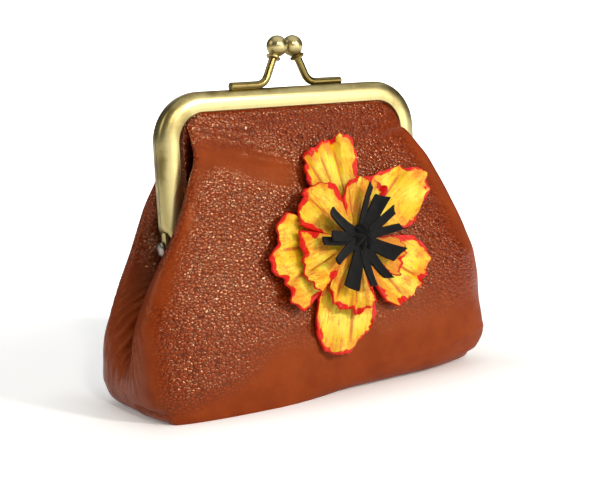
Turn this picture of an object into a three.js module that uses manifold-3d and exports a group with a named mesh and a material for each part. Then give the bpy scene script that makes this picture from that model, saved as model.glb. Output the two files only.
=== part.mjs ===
// A kiss lock coin purse: a soft leather pouch held in a hinged brass frame, with a painted leather
// flower on its front. Millimetres, +Z up. The front faces -Y and +X is to the right of someone who
// looks at it. The origin is the middle of the flat base.
import * as THREE from "three";
import { mergeVertices } from "three/addons/utils/BufferGeometryUtils.js";
import Module from "manifold-3d";

const wasm = await Module();
wasm.setup();

// Driving dimensions
const GAP = 0.3; // clearance between separate pieces
const FRAME_WIDTH = 105;
const FRAME_TOP = 106.6; // height of the top of the closed frame
const HINGE_HEIGHT = 54.5;
const CORNER_RADIUS = 17; // outside of the frame's two top corners
const RAIL_DEPTH = 4.6; // one rail, from the closing plane to its face
const RAIL_FACE = 7; // width of the rail's face
const RAIL_ROUND = 3; // rounding between the face and the outer edge
const RAIL_SHEET = 0.8; // brass sheet that the channel is folded from
const RAIL_WEB = 1; // the channel's outer edge, between its face and its inner lip
const RAIL_BACK_LIP = 4.2; // width of the channel's hidden inner lip
const LEATHER = 1.4; // wall of the pouch

// Shared shape helpers

// Turns points and triangle corners into a closed solid, facing out whichever way they were listed.
function solidFrom(points, corners) {
  const geometry = new THREE.BufferGeometry().setFromPoints(points);
  geometry.setIndex(corners);
  return solidOf(geometry);
}

// A manifold-3d solid of a closed three.js geometry.
function solidOf(source) {
  const geometry = source.clone();
  geometry.deleteAttribute("normal");
  geometry.deleteAttribute("uv");
  const merged = mergeVertices(geometry, 1e-3);
  const vertProperties = new Float32Array(merged.attributes.position.array);
  const triVerts = new Uint32Array(merged.index.array);
  if (signedVolume(vertProperties, triVerts) < 0) {
    triVerts.reverse();
  }
  return new wasm.Manifold(new wasm.Mesh({ numProp: 3, vertProperties, triVerts }));
}

function signedVolume(positions, triangles) {
  const corner = (i) => new THREE.Vector3().fromArray(positions, 3 * triangles[i]);
  let volume = 0;
  for (let i = 0; i < triangles.length; i += 3) {
    volume += corner(i).dot(corner(i + 1).cross(corner(i + 2))) / 6;
  }
  return volume;
}

function geometryOf(solid) {
  const { vertProperties, triVerts } = solid.getMesh();
  const geometry = new THREE.BufferGeometry();
  geometry.setAttribute("position", new THREE.BufferAttribute(vertProperties, 3));
  geometry.setIndex(new THREE.BufferAttribute(triVerts, 1));
  geometry.computeVertexNormals();
  return geometry;
}

const union = (solids) => solids.reduce((all, next) => all.add(next));

// A block from its lowest corner to its highest.
function box(low, high) {
  const size = high.map((value, i) => value - low[i]);
  const geometry = new THREE.BoxGeometry(...size);
  geometry.translate(...low.map((value, i) => value + size[i] / 2));
  return solidOf(geometry);
}

// The two triangles of a four-sided patch, added to a list of corners.
function addQuad(corners, a, b, c, d) {
  corners.push(a, b, c, a, c, d);
}

// A solid swept through rings of equal length, its ends closed by the ring's flat outline.
function loft(rings, outline) {
  const count = outline.length;
  const corners = [];
  for (let r = 0; r + 1 < rings.length; r++) {
    for (let i = 0; i < count; i++) {
      const j = (i + 1) % count;
      addQuad(corners, r * count + i, r * count + j, (r + 1) * count + j, (r + 1) * count + i);
    }
  }
  const last = (rings.length - 1) * count;
  // The side walls above run with the outline, so the first end runs against it and the last with it.
  const turn = THREE.ShapeUtils.isClockWise(outline) ? 1 : -1;
  for (const [a, b, c] of THREE.ShapeUtils.triangulateShape(outline, [])) {
    const flip = THREE.ShapeUtils.isClockWise([outline[a], outline[b], outline[c]]) ? 1 : -1;
    const [p, q] = flip === turn ? [b, c] : [c, b];
    corners.push(a, q, p, last + a, last + p, last + q);
  }
  return solidFrom(rings.flat(), corners);
}

// A sheet of even thickness over a grid of points: its face, its back and the rim between them.
function sheet(face, back) {
  const rows = face.length;
  const columns = face[0].length;
  const index = (side, r, c) => (side * rows + r) * columns + c;
  const corners = [];
  for (let r = 0; r + 1 < rows; r++) {
    for (let c = 0; c + 1 < columns; c++) {
      addQuad(corners, index(0, r, c), index(0, r, c + 1), index(0, r + 1, c + 1), index(0, r + 1, c));
      addQuad(corners, index(1, r, c), index(1, r + 1, c), index(1, r + 1, c + 1), index(1, r, c + 1));
    }
    const end = columns - 1;
    addQuad(corners, index(0, r, 0), index(0, r + 1, 0), index(1, r + 1, 0), index(1, r, 0));
    addQuad(corners, index(0, r, end), index(1, r, end), index(1, r + 1, end), index(0, r + 1, end));
  }
  for (let c = 0; c + 1 < columns; c++) {
    const end = rows - 1;
    addQuad(corners, index(0, 0, c), index(1, 0, c), index(1, 0, c + 1), index(0, 0, c + 1));
    addQuad(corners, index(0, end, c), index(0, end, c + 1), index(1, end, c + 1), index(1, end, c));
  }
  return solidFrom([...face.flat(), ...back.flat()], corners);
}

// Smooth value of one named column of a table at a place between its rows, with no overshoot.
function along(table, key, place, column) {
  const rows = [...table].sort((a, b) => a[key] - b[key]);
  const last = rows.length - 1;
  if (place <= rows[0][key]) return rows[0][column];
  if (place >= rows[last][key]) return rows[last][column];
  const slope = (i) =>
    (rows[i + 1][column] - rows[i][column]) / (rows[i + 1][key] - rows[i][key]);
  const tangent = (i) => {
    if (i === 0) return slope(0);
    if (i === last) return slope(last - 1);
    const [before, after] = [slope(i - 1), slope(i)];
    return before * after <= 0 ? 0 : (2 * before * after) / (before + after);
  };
  const i = rows.findIndex((row, k) => place <= rows[k + 1][key]);
  const width = rows[i + 1][key] - rows[i][key];
  const t = (place - rows[i][key]) / width;
  const [t2, t3] = [t * t, t * t * t];
  return (
    (2 * t3 - 3 * t2 + 1) * rows[i][column] +
    (t3 - 2 * t2 + t) * width * tangent(i) +
    (3 * t2 - 2 * t3) * rows[i + 1][column] +
    (t3 - t2) * width * tangent(i + 1)
  );
}

// Leather pouch

const SLOT_DEPTH = RAIL_DEPTH - RAIL_SHEET - GAP; // the leather's face, inside the front channel
const LIP_CLEARANCE = 0.7; // from the lip of the channel to the leather that comes out from under it
const LIP_TURN = 1.3; // how far forward the leather comes as it turns round the channel's lip
const LIP_REACH = 10; // it does so over this height below the top channel
const LEAST_LOBE = 0.1; // the side lobes come at least this much further forward
const EDGE_TUCK = 2.8; // how far the leather's edge stays inside the frame's outline
const CORNER_X = FRAME_WIDTH / 2 - CORNER_RADIUS;
const CORNER_Z = FRAME_TOP - CORNER_RADIUS;
const LIP_BOTTOM = FRAME_TOP - RAIL_FACE - LIP_CLEARANCE; // above this the leather is in the top channel

// The leather's outside at each level: how far its front side reaches to the left and to the right and
// its back side to either side, half of its depth at the middle, the depth at which its side lobes are
// widest, the half width at the bottom of the side fold, and how square its front corners are.
const LEVELS = [
  { z: 98, left: 44.0, right: 44.5, back: 44.5, depth: 4.2, lobe: 3.7, fold: 46, square: 2.2 },
  { z: 92, left: 42.0, right: 44.6, back: 44.2, depth: 7.6, lobe: 5.0, fold: 46, square: 2.2 },
  { z: 86, left: 42.2, right: 48.0, back: 45.4, depth: 10.6, lobe: 7.2, fold: 46, square: 2.3 },
  { z: 78, left: 45.4, right: 53.4, back: 48.5, depth: 13.6, lobe: 9.4, fold: 46, square: 2.4 },
  { z: 68, left: 49.8, right: 58.6, back: 53.2, depth: 16.9, lobe: 11.0, fold: 46, square: 2.5 },
  { z: 59, left: 54.8, right: 62.6, back: 56.3, depth: 19.8, lobe: 12.0, fold: 46, square: 2.5 },
  { z: 50, left: 60.5, right: 66.2, back: 59.6, depth: 22.4, lobe: 12.6, fold: 47.5, square: 2.6 },
  { z: 41, left: 65.6, right: 69.0, back: 63.4, depth: 24.6, lobe: 12.8, fold: 53, square: 2.8 },
  { z: 32, left: 69.2, right: 69.5, back: 66.8, depth: 26.4, lobe: 12.4, fold: 59.5, square: 3.1 },
  { z: 24, left: 70.4, right: 69.4, back: 69.4, depth: 27.4, lobe: 11.4, fold: 66, square: 3.4 },
  { z: 16, left: 70.6, right: 69.4, back: 70.2, depth: 27.8, lobe: 10.0, fold: 69.2, square: 4.2 },
  { z: 9, left: 70.4, right: 70.2, back: 70.2, depth: 27.8, lobe: 9.0, fold: 70.0, square: 5.0 },
  { z: 0, left: 70.4, right: 70.2, back: 70.2, depth: 27.8, lobe: 8.0, fold: 70.0, square: 5.0 },
];

// How far the rounded bottom edge draws the leather in from its widest, down to the flat base.
const BASE_EDGE = [
  { z: 9.0, inset: 0 },
  { z: 4.0, inset: 2.2 },
  { z: 1.2, inset: 5.6 },
  { z: 0.0, inset: 10 },
];
// The left half of the front's bottom edge is boxed, so it lacks this share of that rounding. It starts
// from the left corner and fades out past the middle.
const BOXED = { share: 0.95, from: -71, full: -60, fade: -24, end: 22 };

// Soft ridges (height over 0) and creases that the gathered leather makes below the frame's corners,
// each along a line on the front from one end to the other, where it is lower. The back has them too.
const FOLD_FADE = 0.7; // share of a fold's height that is lost at its far end
const FOLDS = [
  { x0: -41, z0: 83, x1: -8, z1: 76, reach: 6.5, height: 1.6 },
  { x0: -41, z0: 93, x1: -18, z1: 87, reach: 4.5, height: -0.8 },
  { x0: 44, z0: 86, x1: 22, z1: 82, reach: 6.5, height: 1.2 },
  { x0: -58, z0: 40, x1: -40, z1: 22, reach: 8, height: 0.8 },
  { x0: 60, z0: 42, x1: 48, z1: 24, reach: 8, height: 0.8 },
];

// Levels of the mesh. The first rows lie flat in the top channel, and the last is the edge of the base.
const FLAT_ROWS = [FRAME_TOP - EDGE_TUCK, 102.6, LIP_BOTTOM];
const OPEN_ROWS = [97.4, 94.5, 91, 87, 82, 76, 70, 64, 58.5];
const SEWN_ROWS = [53.5, 47, 40, 33, 26, 19, 12, 6.5, 2.6, 0.7, 0];
const ROWS = [...FLAT_ROWS, ...OPEN_ROWS, ...SEWN_ROWS];
const FIRST_SEWN = FLAT_ROWS.length + OPEN_ROWS.length; // below this the two sides are sewn together
const SEWN_STEPS = [0, 0.1, 0.2]; // first columns along the curve from the side fold to the lobe
const FOLD_STEPS = [0.35, 0.7]; // the rest of that curve, which starts at the channel above the hinge
const SLOT_MOUTH = 0.2; // from the last column in the channel to where the leather turns round its lip
const FRONT_STEPS = 8; // from the lobe round to the middle of the front
const COLUMN_CROWDING = 0.85; // under 1, these columns are closer together at the middle than at the lobe

const level = (z, column) => along(LEVELS, "z", z, column);

// Half width of the frame's outline at a height, drawn in by some distance.
function frameHalf(z, inset) {
  const radius = CORNER_RADIUS - inset;
  const rise = Math.max(0, z - CORNER_Z);
  return CORNER_X + Math.sqrt(Math.max(0, radius * radius - rise * rise));
}

// The leather's edge in the channel. Near the hinge it is trimmed to clear the hinge plates.
const HINGE_TRIM = [
  { z: 57, inset: 4.9 },
  { z: 68, inset: EDGE_TUCK },
];
const edgeHalf = (z) => frameHalf(z, along(HINGE_TRIM, "z", z, "inset"));
const lipHalf = (z) => frameHalf(z, RAIL_FACE + LIP_CLEARANCE);

// How far one side of the pouch reaches to one hand, kept inside the frame's rounded corners.
function lobeHalf(z, face, hand) {
  const side = hand < 0 ? "left" : "right";
  const half = level(z, face < 0 ? side : "back");
  return z > CORNER_Z ? Math.min(half, lipHalf(z) - GAP) : half;
}

// How far the folds push the wall out at a place on the front.
function foldHeight(x, z) {
  let height = 0;
  for (const fold of FOLDS) {
    const line = new THREE.Line3(
      new THREE.Vector3(fold.x0, 0, fold.z0),
      new THREE.Vector3(fold.x1, 0, fold.z1),
    );
    const here = new THREE.Vector3(x, 0, z);
    const share = line.closestPointToPointParameter(here, true);
    const away = line.at(share, new THREE.Vector3()).distanceTo(here) / fold.reach;
    height += fold.height * Math.exp(-away * away) * (1 - FOLD_FADE * share);
  }
  return height;
}

// Depth of the front, measured forward from the closing plane, where the front faces the viewer.
function frontDepth(x, z) {
  const share = Math.min(1, Math.abs(x) / lobeHalf(z, -1, Math.sign(x)));
  const square = level(z, "square");
  const lobe = level(z, "lobe");
  const round = (1 - share ** square) ** (1 / square);
  return lobe + (level(z, "depth") - lobe) * round + foldHeight(x, z) * round;
}

// Part of the outside at a height, from the channel or side fold round to the middle. Face is -1 for the
// front side and 1 for the back, and hand is -1 for the left and 1 for the right. Each place has a
// distance across, a depth, and how far it is out from the lobe towards the middle.
function halfSection(z, face, hand) {
  const sewn = z < HINGE_HEIGHT;
  const turned = LIP_TURN * Math.min(1, (LIP_BOTTOM - z) / LIP_REACH);
  const start = sewn
    ? { across: level(z, "fold"), depth: 0 }
    : { across: lipHalf(z), depth: SLOT_DEPTH + turned };
  const lobe = {
    across: lobeHalf(z, face, hand),
    depth: Math.max(level(z, "lobe"), start.depth + LEAST_LOBE),
  };
  // An S curve that leaves its start straight forward and reaches the lobe straight forward.
  const curve = (t) => ({
    across: start.across + (lobe.across - start.across) * t * t * (3 - 2 * t),
    depth: start.depth + (lobe.depth - start.depth) * (1.5 * t * (1 - t) + t * t * t),
    out: 0,
  });
  const places = sewn
    ? SEWN_STEPS.map(curve)
    : [
        { across: edgeHalf(z), depth: SLOT_DEPTH, out: 0 },
        { across: lipHalf(z) + SLOT_MOUTH, depth: SLOT_DEPTH, out: 0 },
        curve(0),
      ];
  places.push(...FOLD_STEPS.map(curve));
  const power = 2 / level(z, "square");
  for (let i = 0; i < FRONT_STEPS; i++) {
    const angle = (Math.PI / 2) * (i / FRONT_STEPS) ** COLUMN_CROWDING;
    const out = Math.sin(angle) ** power;
    const depth = lobe.depth + (level(z, "depth") - lobe.depth) * out;
    places.push({ across: lobe.across * Math.cos(angle) ** power, depth, out });
  }
  places.push({ across: 0, depth: level(z, "depth"), out: 1 });
  return places;
}

// A whole row of one side's outside, from the left edge to the right.
function openRow(z, face) {
  const inset = along(BASE_EDGE, "z", z, "inset");
  const place = (hand) => (p) => {
    const x = hand * p.across;
    const boxed =
      THREE.MathUtils.smoothstep(x, BOXED.from, BOXED.full) -
      THREE.MathUtils.smoothstep(x, BOXED.fade, BOXED.end);
    const drawn = inset * (1 - (face < 0 ? p.out * BOXED.share * boxed : 0));
    const depth = (p.depth + p.out * foldHeight(x, z)) * (1 - drawn / level(z, "depth"));
    return new THREE.Vector3(x * (1 - drawn / level(z, "back")), face * depth, z);
  };
  const left = halfSection(z, face, -1).map(place(-1));
  const right = halfSection(z, face, 1).map(place(1));
  return [...left, ...right.slice(0, -1).reverse()];
}

// A flat row in the top channel keeps the columns in the shares that the first open row has.
function flatRow(z, face) {
  const scale = edgeHalf(z) / edgeHalf(OPEN_ROWS[0]);
  return openRow(OPEN_ROWS[0], face).map((p) => new THREE.Vector3(p.x * scale, face * SLOT_DEPTH, z));
}

// The outward direction at a place of one side's outside, from its neighbours.
function outward(grid, face, r, c) {
  const lastRow = grid.length - 1;
  const lastColumn = grid[0].length - 1;
  const at = (row, column) =>
    grid[THREE.MathUtils.clamp(row, 0, lastRow)][THREE.MathUtils.clamp(column, 0, lastColumn)];
  const across = at(r, c + 1).clone().sub(at(r, c - 1));
  const down = at(r + 1, c).clone().sub(at(r - 1, c));
  const normal = down.clone().cross(across).multiplyScalar(-face);
  const fromEdge = Math.min(c, lastColumn - c);
  const hand = c === 0 ? -1 : 1;
  if (r >= FIRST_SEWN && fromEdge === 0) normal.set(-hand * down.z, 0, hand * down.x);
  if (r < FLAT_ROWS.length || (r < FIRST_SEWN && fromEdge < 2)) normal.set(0, face, 0);
  if (r === lastRow) normal.set(0, 0, -1);
  return normal.normalize();
}

function pouch() {
  const walls = []; // the front's outside and inside, then the back's
  for (const face of [-1, 1]) {
    const outside = ROWS.map((z, r) => (r < FLAT_ROWS.length ? flatRow(z, face) : openRow(z, face)));
    const inside = outside.map((row, r) =>
      row.map((p, c) => p.clone().addScaledVector(outward(outside, face, r, c), -LEATHER)),
    );
    walls.push(outside, inside);
  }
  const points = walls.flat(2);
  const corners = [];
  const lastRow = ROWS.length - 1;
  const end = walls[0][0].length - 1;
  const index = (wall, r, c) => (wall * ROWS.length + r) * (end + 1) + c;
  const add = (flip, a, b, c, d) => (flip ? addQuad(corners, d, c, b, a) : addQuad(corners, a, b, c, d));
  walls.forEach((_, w) => {
    const flip = w === 1 || w === 2;
    for (let r = 0; r < lastRow; r++) {
      for (let c = 0; c < end; c++) {
        add(flip, index(w, r, c), index(w, r + 1, c), index(w, r + 1, c + 1), index(w, r, c + 1));
      }
    }
  });
  // The cut edge of each side: along the top, and down both ends as far as the sewn seam.
  for (const [face, back, flip] of [[0, 1, false], [2, 3, true]]) {
    for (let c = 0; c < end; c++) {
      add(flip, index(face, 0, c), index(face, 0, c + 1), index(back, 0, c + 1), index(back, 0, c));
    }
    for (let r = 0; r < FIRST_SEWN; r++) {
      add(flip, index(face, r, 0), index(back, r, 0), index(back, r + 1, 0), index(face, r + 1, 0));
      add(flip, index(face, r, end), index(face, r + 1, end), index(back, r + 1, end), index(back, r, end));
    }
  }
  // The flat base, outside and inside.
  for (const [front, back, down] of [[0, 2, true], [1, 3, false]]) {
    const ring = [];
    for (let c = 0; c <= end; c++) ring.push(index(front, lastRow, c));
    for (let c = end - 1; c > 0; c--) ring.push(index(back, lastRow, c));
    const outline = ring.map((i) => new THREE.Vector2(points[i].x, points[i].y));
    for (const [a, b, c] of THREE.ShapeUtils.triangulateShape(outline, [])) {
      const clockwise = THREE.ShapeUtils.isClockWise([outline[a], outline[b], outline[c]]);
      const [p, q] = clockwise === down ? [b, c] : [c, b];
      corners.push(ring[a], ring[p], ring[q]);
    }
  }
  return solidFrom(points, corners);
}

// The leather is cut in two panels, the front with the base and the back. The seam that joins them runs
// down both sides and along the foot of the back.
const BACK_SEAM_HEIGHT = 2;

function panels() {
  const far = 2 * FRAME_WIDTH;
  const half = GAP / 2;
  const foot = BACK_SEAM_HEIGHT - half;
  const sideSeams = box([-far, -half, foot], [far, half, far]);
  const backSeam = box([-far, -half, foot], [far, far, foot + GAP]);
  const cut = pouch().subtract(union([sideSeams, backSeam])).decompose();
  const frontmost = (solid) => solid.boundingBox().min[1];
  return cut.sort((a, b) => frontmost(a) - frontmost(b));
}

// Brass frame

const CHANNEL_END = HINGE_HEIGHT + 4; // the channels stop here, and the hinge plates go on
const CHANNEL_ENDS = [
  { z: CHANNEL_END, face: 3.4, backLip: 2.2 },
  { z: CHANNEL_END + 3, face: 5.0, backLip: 3.2 },
  { z: CHANNEL_END + 8, face: 6.6, backLip: 4.0 },
  { z: CHANNEL_END + 13, face: RAIL_FACE, backLip: RAIL_BACK_LIP },
];
const CORNER_STEPS = 7;
const ROUND_STEPS = 3;

// The folded channel's outline: how far out from the frame's outline, and how deep.
function railOutline(face, backLip) {
  const split = GAP / 2;
  const quarter = Array.from({ length: ROUND_STEPS + 1 }, (_, i) => ((Math.PI / 2) * i) / ROUND_STEPS);
  const bend = (outAt, depthAt) => (angle) =>
    new THREE.Vector2(
      -RAIL_ROUND + (RAIL_ROUND + outAt) * Math.cos(angle),
      RAIL_DEPTH - RAIL_ROUND + (RAIL_ROUND - depthAt) * Math.sin(angle),
    );
  const outline = [new THREE.Vector2(0, split)];
  outline.push(...quarter.map(bend(0, 0)));
  outline.push(new THREE.Vector2(-face, RAIL_DEPTH));
  outline.push(new THREE.Vector2(-face, RAIL_DEPTH - RAIL_SHEET));
  outline.push(...quarter.reverse().map(bend(-RAIL_WEB, RAIL_SHEET)));
  outline.push(new THREE.Vector2(-RAIL_WEB, split + RAIL_SHEET));
  outline.push(new THREE.Vector2(-backLip, split + RAIL_SHEET));
  outline.push(new THREE.Vector2(-backLip, split));
  return outline;
}

// Places along the left half of the frame's outline, from the hinge up and round the corner.
function railStations() {
  const leg = CHANNEL_ENDS.map((row) => ({ ...row, x: -FRAME_WIDTH / 2, nx: -1, nz: 0 }));
  const full = { face: RAIL_FACE, backLip: RAIL_BACK_LIP };
  const corner = [];
  for (let i = 0; i <= CORNER_STEPS; i++) {
    const angle = Math.PI - ((Math.PI / 2) * i) / CORNER_STEPS;
    const [nx, nz] = [Math.cos(angle), Math.sin(angle)];
    const x = -CORNER_X + CORNER_RADIUS * nx;
    const z = CORNER_Z + CORNER_RADIUS * nz;
    corner.push({ ...full, x, z, nx, nz });
  }
  return [...leg, ...corner];
}

// The bent channel of one rail. Side is -1 for the front rail and 1 for the back one.
function channel(side) {
  const half = railStations();
  const stations = [...half, ...half.map((s) => ({ ...s, x: -s.x, nx: -s.nx })).reverse()];
  const rings = stations.map((s) =>
    railOutline(s.face, s.backLip).map(
      (p) => new THREE.Vector3(s.x + p.x * s.nx, side * p.y, s.z + p.x * s.nz),
    ),
  );
  return loft(rings, railOutline(RAIL_FACE, RAIL_BACK_LIP));
}

const PLATE = 1.0; // hinge plate
const PLATE_RADIUS = 3.2;
const PLATE_TAB = { near: 0.5, far: 3, overlap: 0.4, height: 5 }; // joins the plate to its channel
const PLATE_SIDES = 12;
const RIVET_RADIUS = 1.1;
const RIVET_SIDES = 12;
const OUTER_PLATE_X = FRAME_WIDTH / 2 - PLATE; // inner face of the front rail's plate
const INNER_PLATE_X = OUTER_PLATE_X - GAP - PLATE; // inner face of the back rail's plate

// A round along the hinge's axis, from one distance out to another.
function hingeRound(hand, radius, from, to, sides) {
  const geometry = new THREE.CylinderGeometry(radius, radius, to - from, sides);
  geometry.rotateZ(Math.PI / 2);
  geometry.translate((hand * (from + to)) / 2, 0, HINGE_HEIGHT);
  return solidOf(geometry);
}

// A plate that hangs from the channel's end, with the rivet's hole. Hand is -1 for the left hinge.
function hingePlate(side, hand) {
  const from = side < 0 ? OUTER_PLATE_X : INNER_PLATE_X;
  const ordered = (a, b) => [Math.min(a, b), Math.max(a, b)];
  const [y0, y1] = ordered(side * PLATE_TAB.near, side * PLATE_TAB.far);
  const top = CHANNEL_END + PLATE_TAB.height;
  const tabBox = (outer, bottom) => {
    const [x0, x1] = ordered(hand * from, hand * outer);
    return box([x0, y0, bottom], [x1, y1, top]);
  };
  const tab = tabBox(from + PLATE, HINGE_HEIGHT);
  const join = tabBox(OUTER_PLATE_X + PLATE_TAB.overlap, CHANNEL_END + PLATE_TAB.overlap);
  const disc = hingeRound(hand, PLATE_RADIUS, from, from + PLATE, PLATE_SIDES);
  const hole = hingeRound(hand, RIVET_RADIUS + GAP, from - PLATE, from + 2 * PLATE, RIVET_SIDES);
  return union([tab, disc, join]).subtract(hole);
}

const WIRE_RADIUS = 1.1;
const WIRE_BEND = 3; // from the corner of the wire's bend to its straight parts
const WIRE_STEPS = 16;
const WIRE_SIDES = 10;
const BALL_RADIUS = 3.6;
const BALL_NECK = 1.9; // radius where the ball springs from its collar
const BALL_BORE_DEPTH = 1; // from the ball's middle down to the end of its bore
const BALL_STEPS = 7;
const BALL_SIDES = 12;
const COLLAR = { radius: 2.4, rounding: 0.2, bottom: -4.3, top: -3.3 };
const FOOT_SUNK = 0.35; // the foot's solder joins it to the rail
const LOCK = { footEnd: 24.1, bend: 10.4, ballX: 3.6, ballY: 1.1, ballZ: 120.8, footY: 2.3 };

const wireFootZ = FRAME_TOP + WIRE_RADIUS - FOOT_SUNK;
const ballMiddle = (side) => new THREE.Vector3(side * LOCK.ballX, side * LOCK.ballY, LOCK.ballZ);
const wireBend = (side) => new THREE.Vector3(side * LOCK.bend, side * LOCK.footY, wireFootZ);
const postDirection = (side) => ballMiddle(side).sub(wireBend(side)).normalize();

// The bent wire of one half of the kiss lock: its foot along the rail, a bend, and the ball's post.
function lockWire(side) {
  const foot = new THREE.Vector3(side * LOCK.footEnd, side * LOCK.footY, wireFootZ);
  const bend = wireBend(side);
  const beforeBend = bend.clone().add(new THREE.Vector3(side * WIRE_BEND, 0, 0));
  const afterBend = bend.clone().addScaledVector(postDirection(side), WIRE_BEND);
  const tip = ballMiddle(side).addScaledVector(postDirection(side), -(BALL_BORE_DEPTH + GAP));
  const path = new THREE.CurvePath();
  path.add(new THREE.LineCurve3(foot, beforeBend));
  path.add(new THREE.QuadraticBezierCurve3(beforeBend, bend, afterBend));
  path.add(new THREE.LineCurve3(afterBend, tip));
  const section = new THREE.Shape().absarc(0, 0, WIRE_RADIUS, 0, 2 * Math.PI);
  const settings = { steps: WIRE_STEPS, curveSegments: WIRE_SIDES / 2, extrudePath: path };
  return solidOf(new THREE.ExtrudeGeometry(section, settings));
}

function rail(side) {
  return union([channel(side), hingePlate(side, -1), hingePlate(side, 1), lockWire(side)]);
}

// A ball of the kiss lock with the collar under it, bored for the wire. Its axis is the post.
function ball() {
  const bore = WIRE_RADIUS + GAP;
  const profile = [
    new THREE.Vector2(0, -BALL_BORE_DEPTH),
    new THREE.Vector2(bore, -BALL_BORE_DEPTH),
    new THREE.Vector2(bore, COLLAR.bottom),
    new THREE.Vector2(COLLAR.radius - COLLAR.rounding, COLLAR.bottom),
    new THREE.Vector2(COLLAR.radius, (COLLAR.bottom + COLLAR.top) / 2),
    new THREE.Vector2(COLLAR.radius - COLLAR.rounding, COLLAR.top),
  ];
  const lowest = -Math.acos(BALL_NECK / BALL_RADIUS);
  for (let i = 0; i <= BALL_STEPS; i++) {
    const angle = lowest + ((Math.PI / 2 - lowest) * i) / BALL_STEPS;
    const radius = i === BALL_STEPS ? 0 : BALL_RADIUS * Math.cos(angle);
    profile.push(new THREE.Vector2(radius, BALL_RADIUS * Math.sin(angle)));
  }
  return new THREE.LatheGeometry(profile, BALL_SIDES);
}

// A domed rivet through both hinge plates, from its outer head to the head that is hammered inside.
function rivet() {
  const foot = OUTER_PLATE_X + PLATE + GAP;
  const head = { radius: 2.5, edge: 0.5, shoulder: 1.5, shoulderHeight: 0.9, height: 1 };
  const innerFoot = INNER_PLATE_X - GAP;
  const innerHead = { radius: 1.9, thick: 0.7 };
  const profile = [
    new THREE.Vector2(0, innerFoot - innerHead.thick),
    new THREE.Vector2(innerHead.radius, innerFoot - innerHead.thick),
    new THREE.Vector2(innerHead.radius, innerFoot),
    new THREE.Vector2(RIVET_RADIUS, innerFoot),
    new THREE.Vector2(RIVET_RADIUS, foot),
    new THREE.Vector2(head.radius, foot),
    new THREE.Vector2(head.radius, foot + head.edge),
    new THREE.Vector2(head.shoulder, foot + head.shoulderHeight),
    new THREE.Vector2(0, foot + head.height),
  ];
  return new THREE.LatheGeometry(profile, RIVET_SIDES);
}

// Leather flower. Its own frame has +Z out of the pouch, +X to the right and +Y up.

const FLOWER_PLACE = { x: 10.5, z: 52 };
const PETAL_LEATHER = 1.2;
const PETAL_DISC = 7; // the middle that the five petals of a layer are cut in one with
const OUTER_SEAT = GAP;
const INNER_SEAT = OUTER_SEAT + PETAL_LEATHER + GAP;
const STAMEN_SEAT = INNER_SEAT + PETAL_LEATHER + GAP;

// One row for each petal: its direction, length, half of the angle that it fans over, how high its tip
// stands, how much its sides curl up, its ruffle's height, waves and start, and how round its tip is.
const OUTER_PETALS = [
  { turn: 101, length: 37.5, fan: 25, lift: 1.5, curl: 1.2, ruffle: 1.2, waves: 2.5, start: 0.4, round: 0.2 },
  { turn: 33, length: 39.5, fan: 28, lift: 0.8, curl: 1.4, ruffle: 1.0, waves: 2.0, start: 1.6, round: 0.3 },
  { turn: -38, length: 31, fan: 36, lift: 0.5, curl: 1.2, ruffle: 1.0, waves: 2.5, start: 2.6, round: 0.16 },
  { turn: -111, length: 41, fan: 27, lift: -2, curl: 1.4, ruffle: 1.1, waves: 2.0, start: 0.9, round: 0.45 },
  { turn: -173, length: 37, fan: 33, lift: 3.0, curl: 1.2, ruffle: 1.4, waves: 2.5, start: 3.4, round: 0.1 },
];
const INNER_PETALS = [
  { turn: 135, length: 27, fan: 29, lift: 3.5, curl: 1.4, ruffle: 1.0, waves: 2.0, start: 0.2, round: 0.2 },
  { turn: 76, length: 22, fan: 29, lift: 4.0, curl: 1.2, ruffle: 0.9, waves: 2.0, start: 1.2, round: 0.15 },
  { turn: -31, length: 20, fan: 30, lift: 3.2, curl: 1.2, ruffle: 0.9, waves: 2.5, start: 2.2, round: 0.25 },
  { turn: -114, length: 27, fan: 27, lift: 2.6, curl: 1.4, ruffle: 1.0, waves: 2.5, start: 0.8, round: 0.15 },
  { turn: -167, length: 28, fan: 26, lift: 3.8, curl: 1.4, ruffle: 1.0, waves: 2.0, start: 3.0, round: 0.1 },
];
const PETAL_FOOT = 0.08; // share of its length, inside the middle disc, where a petal's sheet begins
const PETAL_FRILL = 0.03; // share of its length that the waves of its outer edge go in and out
const PETAL_ROWS = 5;
const PETAL_COLUMNS = 7;
const DISC_SIDES = 16;

// Height of a petal above its seat, at a distance from the middle and a share of its half width.
function petalHeight(petal, radius, s) {
  const t = Math.max(0, radius - PETAL_DISC) / (petal.length - PETAL_DISC);
  const ruffle = petal.ruffle * Math.sin(petal.waves * Math.PI * s + petal.start);
  return petal.lift * t ** 1.5 + petal.curl * s * s * t * t + ruffle * t ** 3;
}

function petalSolid(petal, seat) {
  const grid = (drop) =>
    Array.from({ length: PETAL_ROWS + 1 }, (_, r) =>
      Array.from({ length: PETAL_COLUMNS + 1 }, (_, c) => {
        const t = PETAL_FOOT + ((1 - PETAL_FOOT) * r) / PETAL_ROWS;
        const s = (2 * c) / PETAL_COLUMNS - 1;
        const angle = THREE.MathUtils.degToRad(petal.turn + s * petal.fan);
        const frill = PETAL_FRILL * Math.sin(2 * petal.waves * Math.PI * s + petal.start);
        const radius = t * petal.length * (1 - petal.round * Math.abs(s) ** 3 + frill * t);
        const height = seat + PETAL_LEATHER - drop + petalHeight(petal, radius, s);
        return new THREE.Vector3(radius * Math.cos(angle), radius * Math.sin(angle), height);
      }),
    );
  return sheet(grid(0), grid(PETAL_LEATHER));
}

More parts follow.
